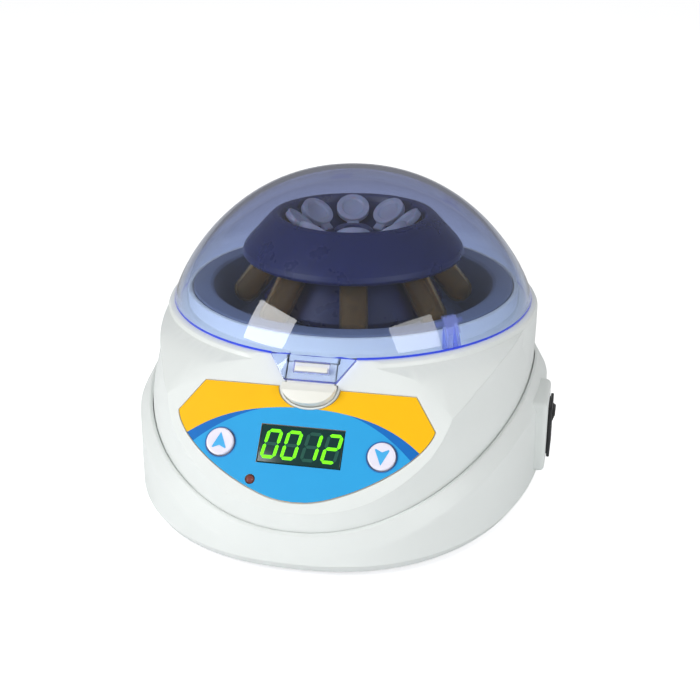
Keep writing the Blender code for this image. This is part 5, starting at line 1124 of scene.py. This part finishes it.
def makeSwitch():
    y, z, x = switch["y"], switch["z"], switch["padX"] + fit
    face = x + switch["flange"]
    body = block("switchFrame", (x, y - switch["halfY"], z - switch["halfZ"]),
                 (face, y + switch["halfY"], z + switch["halfZ"]), 0.35 * mm)
    fuse(body, block("trunk", (x - switch["deep"], y - switch["bodyY"], z - switch["bodyZ"]),
                     (x + switch["flange"] / 2, y + switch["bodyY"], z + switch["bodyZ"])))
    carve(body, block("pocket", (face - switch["pocketDeep"], y - switch["pocketY"],
                                 z - switch["pocketZ"]),
                      (face + mm, y + switch["pocketY"], z + switch["pocketZ"])))
    keep(body, "blackAbsMoulded", "housing", ["switch_body"], "black_abs")

    tall, out, hollow = switch["rockerZ"], switch["face"], switch["hollow"]
    points = [(-switch["back"], -tall * 0.7), (out * 0.6, -tall), (out, -tall * 0.93)]
    steps = 14
    for i in range(1, steps):
        share = 2 * i / steps - 1
        dip = hollow * (1 - abs(share) ** 2.2)
        points.append((out - dip * (0.6 + 0.4 * min(abs(share) * 2.2, 1)), tall * 0.93 * share))
    points += [(out, tall * 0.93), (out * 0.6, tall), (-switch["back"], tall * 0.7)]
    rocker = flatShape("powerRocker", points, -switch["rockerY"], switch["rockerY"])
    soften(rocker, 0.25 * mm, 2, 40)
    stand = Matrix(((1, 0, 0, 0), (0, 0, -1, 0), (0, 1, 0, 0), (0, 0, 0, 1)))
    place = (Matrix.Translation((face - switch["pivot"], y, z))
             @ Matrix.Rotation(math.radians(switch["tilt"]), 4, "Y"))
    moved(rocker, place @ stand)
    keep(rocker, "blackAbsMoulded", "rocker", ["power_rocker"], "black_abs")
    surface = out - hollow * 0.86
    zero = lathe("zeroMark", [(1.55 * mm, 0.12 * mm), (1.55 * mm, -0.5 * mm), (1.05 * mm, -0.5 * mm),
                              (1.05 * mm, 0.12 * mm)], 40)
    lay = Matrix.Translation((surface, 0, -tall * 0.48)) @ Matrix.Rotation(math.pi / 2, 4, "Y")
    keep(moved(zero, place @ lay), "whiteInkPrinted", "rocker", (), "black_abs")
    one = block("oneMark", (-0.3 * mm, -1.5 * mm, -0.5 * mm), (0.3 * mm, 1.5 * mm, 0.12 * mm), 0.05 * mm)
    turn = Matrix.Rotation(math.pi / 2, 4, "Z")
    lay = Matrix.Translation((surface, 0, tall * 0.48)) @ Matrix.Rotation(math.pi / 2, 4, "Y")
    keep(moved(one, place @ lay @ turn), "whiteInkPrinted", "rocker", (), "black_abs")


def makeInlet():
    back, z = inlet["padY"] + fit, inlet["z"]
    face = back + inlet["flange"]
    body = block("powerInlet", (-inlet["halfX"], back, z - inlet["halfZ"]),
                 (inlet["halfX"], face, z + inlet["halfZ"]), 0.4 * mm)
    fuse(body, block("trunk", (-inlet["bodyX"], back - inlet["deep"], z - inlet["bodyZ"]),
                     (inlet["bodyX"], back + fit, z + inlet["bodyZ"])))
    floor = back - inlet["deep"] + inlet["wall"]
    x, tall = inlet["bodyX"] - inlet["wall"], inlet["bodyZ"] - inlet["wall"]
    socket = [(-x, -tall), (x, -tall), (x, tall * 0.45), (x * 0.68, tall), (-x * 0.68, tall),
              (-x, tall * 0.45)]
    hole = flatShape("socket", socket, floor, face + mm)
    turn = Matrix(((1, 0, 0, 0), (0, 0, 1, 0), (0, 1, 0, z), (0, 0, 0, 1)))
    carve(body, moved(hole, turn))
    keep(body, "blackAbsMoulded", "housing", ["power_inlet"], "black_abs")
    pins = []
    for side, level in ((-1, -1), (0, 1), (1, -1)):
        px, pz = side * inlet["spread"], z + level * inlet["drop"]
        pins.append(block("pin", (px - inlet["pinX"], floor - fit, pz - inlet["pinZ"]),
                          (px + inlet["pinX"], floor + inlet["pinLength"], pz + inlet["pinZ"]),
                          0.5 * mm))
    keep(joinLoose(*pins), "brassPinsPlated", "housing", (), "black_abs").name = "inletPins"


def makeFeet():
    foot = {"height": 3.1 * mm, "radius": 6.5 * mm, "stem": 2.4 * mm, "knob": 3.2 * mm,
            "knobZ": 6.3 * mm, "stemHeight": 2.2 * mm, "inset": 19.0 * mm,
            "turns": (52.0, 128.0, 236.0, 304.0)}
    for number, turn in enumerate(foot["turns"], 1):
        spot = egg(skirt["width"], skirt["reach"], skirt["fullness"], math.radians(turn),
                   foot["inset"])
        obj = lathe(f"rubberFoot{number}", [
            (0, foot["knobZ"] + foot["stemHeight"]), (foot["stem"], foot["knobZ"] + foot["stemHeight"]),
            (foot["knob"], foot["knobZ"]), (foot["stem"], foot["knobZ"]),
            (foot["stem"], foot["height"]), (foot["radius"], foot["height"]),
            (foot["radius"] - foot["height"] / 4, 0), (foot["radius"] * 0.6, 0),
            (foot["radius"] * 0.5, 0.5 * mm), (0, 0.5 * mm),
        ], 48, 0.3 * mm)
        moved(obj, Matrix.Translation((spot.x, spot.y, 0)))
        keep(obj, "nitrileRubberMoulded", "housing", [f"rubber_foot_{number}"], "black_rubber")


makeUpperHousing()
print("upper housing made")
makeLowerHousing()
print("lower housing made")
makeLid()
print("lid made")
makeLatch()
makeLabel()
makeDisplay()
makeKeys()
print("panel made")
makeBowl()
makeRotor()
makeTubes()
print("rotor made")
makeSwitch()
makeInlet()
makeFeet()
print("switch, inlet and feet made")

# CAD nodes whose shape is right keep it and get their finish
carried = {
    "slateAbsMoulded": ["base_plate"],
    "groundSteel": ["hinge_pin", "latch_pin", "motor_shaft", "upper_bearing", "lower_bearing",
                    "motor_can"],
    "zincPlatedSteel": ["motor_end_cap", "motor_plate", "transformer_core", "motor_screw_1",
                        "motor_screw_2"] + [f"base_screw_{i}" for i in range(1, 5)],
    "copperWireWound": ["motor_armature"],
    "greenBoardMasked": ["control_board", "supply_board"],
    "blackAbsMoulded": ["interlock_switch", "display_module"],
    "nitrileRubberMoulded": [f"rubber_mount_{i}" for i in range(1, 5)],
}
for material, nodes in carried.items():
    for node in nodes:
        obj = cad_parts[node]
        if not obj.material_slots:
            obj.data.materials.append(materials[material])
        for place in obj.material_slots:
            place.material = materials[material]

for obj, body, stands, slot in pieces:
    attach(obj, body)
    if stands:
        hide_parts(*stands)
print("pieces placed:", len(pieces))

# Studio: a pale floor, a white surround and soft lamps
studio = {"floor": 3.0, "floorColour": "F4F5F6", "lift": 0.62, "worldStrength": 0.40,
          "mirrored": 0.24}


def makeStudio():
    bm = bmesh.new()
    bmesh.ops.create_grid(bm, x_segments=1, y_segments=1, size=studio["floor"])
    floor = meshFrom(bm, "studioFloor")
    paper = bpy.data.materials.new("paperBackdropMatt")
    paper.use_nodes = True
    tree = paper.node_tree
    shader = tree.nodes["Principled BSDF"]
    shader.inputs["Roughness"].default_value = 0.9
    place = addNode(tree, "ShaderNodeTexCoord").outputs["Object"]
    cloud = addNode(tree, "ShaderNodeTexNoise", links={"Vector": place}, Scale=4.0)
    tint = addNode(tree, "ShaderNodeMix", {"data_type": "RGBA"})
    tint.inputs[6].default_value = paint(studio["floorColour"])
    tint.inputs[7].default_value = paint("F1F2F4")
    tree.links.new(cloud.outputs["Fac"], tint.inputs[0])
    tree.links.new(tint.outputs[2], shader.inputs["Base Color"])
    seen = addNode(tree, "ShaderNodeLightPath")
    more = addNode(tree, "ShaderNodeMath", {"operation": "MULTIPLY"})
    tree.links.new(seen.outputs["Is Camera Ray"], more.inputs[0])
    more.inputs[1].default_value = studio["lift"]
    shader.inputs["Emission Color"].default_value = (1, 1, 1, 1)
    tree.links.new(more.outputs[0], shader.inputs["Emission Strength"])
    floor.data.materials.append(paper)

    world = bpy.data.worlds.new("studioWorld")
    bpy.context.scene.world = world
    world.use_nodes = True
    tree = world.node_tree
    sky = tree.nodes["Background"]
    sky.inputs["Color"].default_value = (1, 1, 1, 1)
    seen = addNode(tree, "ShaderNodeLightPath")
    bounced = addNode(tree, "ShaderNodeMath", {"operation": "ADD"})  # light that has met a solid
    tree.links.new(seen.outputs["Diffuse Depth"], bounced.inputs[0])
    tree.links.new(seen.outputs["Glossy Depth"], bounced.inputs[1])
    straight = addNode(tree, "ShaderNodeMath", {"operation": "LESS_THAN"})
    tree.links.new(bounced.outputs[0], straight.inputs[0])
    straight.inputs[1].default_value = 0.5
    through = addNode(tree, "ShaderNodeMath", {"operation": "MULTIPLY"})
    tree.links.new(seen.outputs["Is Transmission Ray"], through.inputs[0])
    tree.links.new(straight.outputs[0], through.inputs[1])
    first = addNode(tree, "ShaderNodeMath", {"operation": "MAXIMUM"})
    tree.links.new(seen.outputs["Is Camera Ray"], first.inputs[0])
    tree.links.new(through.outputs[0], first.inputs[1])
    mirror = addNode(tree, "ShaderNodeMapRange", links={"Value": seen.outputs["Is Glossy Ray"]})
    mirror.inputs["To Min"].default_value = studio["worldStrength"]
    mirror.inputs["To Max"].default_value = studio["mirrored"]
    strength = addNode(tree, "ShaderNodeMapRange", links={"Value": first.outputs[0],
                                                          "To Min": mirror.outputs["Result"]})
    strength.inputs["To Max"].default_value = 1.0
    tree.links.new(strength.outputs["Result"], sky.inputs["Strength"])

    lamps = [
        ("leftBox", (-0.51, -0.53, 0.385), 0.38, 0.36, 3.4, True),
        ("rightBox", (0.57, -0.46, 0.37), 0.38, 0.34, 1.9, True),
        ("topBox", (0.05, 0.25, 0.95), 0.9, 0.7, 1.2, False),
    ]
    for name, spot, wide, tall, power, mirrored in lamps:
        light = bpy.data.lights.new(name, "AREA")
        light.shape = "RECTANGLE"
        light.size = wide
        light.size_y = tall
        light.energy = power
        obj = bpy.data.objects.new(name, light)
        obj.visible_glossy = mirrored
        obj.visible_transmission = False
        obj.location = spot
        aim = Vector((0, 0, 0.06)) - Vector(spot)
        obj.rotation_euler = aim.to_track_quat("-Z", "Y").to_euler()
        bpy.context.scene.collection.objects.link(obj)


makeStudio()

view = {"turn": 11.6, "rise": 22.8, "distance": 510 * mm, "lens": 62.9, "aimZ": 40.7 * mm,
        "aimSide": -1.3 * mm}


def makeCamera():
    turn, rise = math.radians(view["turn"]), math.radians(view["rise"])
    aim = Vector((view["aimSide"] * math.cos(turn), view["aimSide"] * math.sin(turn), view["aimZ"]))
    aim += machineShift
    back = Vector((math.sin(turn) * math.cos(rise), -math.cos(turn) * math.cos(rise),
                   math.sin(rise)))
    data = bpy.data.cameras.new("photoCamera")
    data.sensor_width = 36
    data.lens = view["lens"]
    data.clip_start = 0.01
    camera = bpy.data.objects.new("photoCamera", data)
    camera.location = aim + back * view["distance"]
    camera.rotation_euler = (-back).to_track_quat("-Z", "Y").to_euler()
    bpy.context.scene.collection.objects.link(camera)
    bpy.context.scene.camera = camera


makeCamera()
bpy.context.scene.view_settings.view_transform = "Standard"

print("camera and lamps placed")
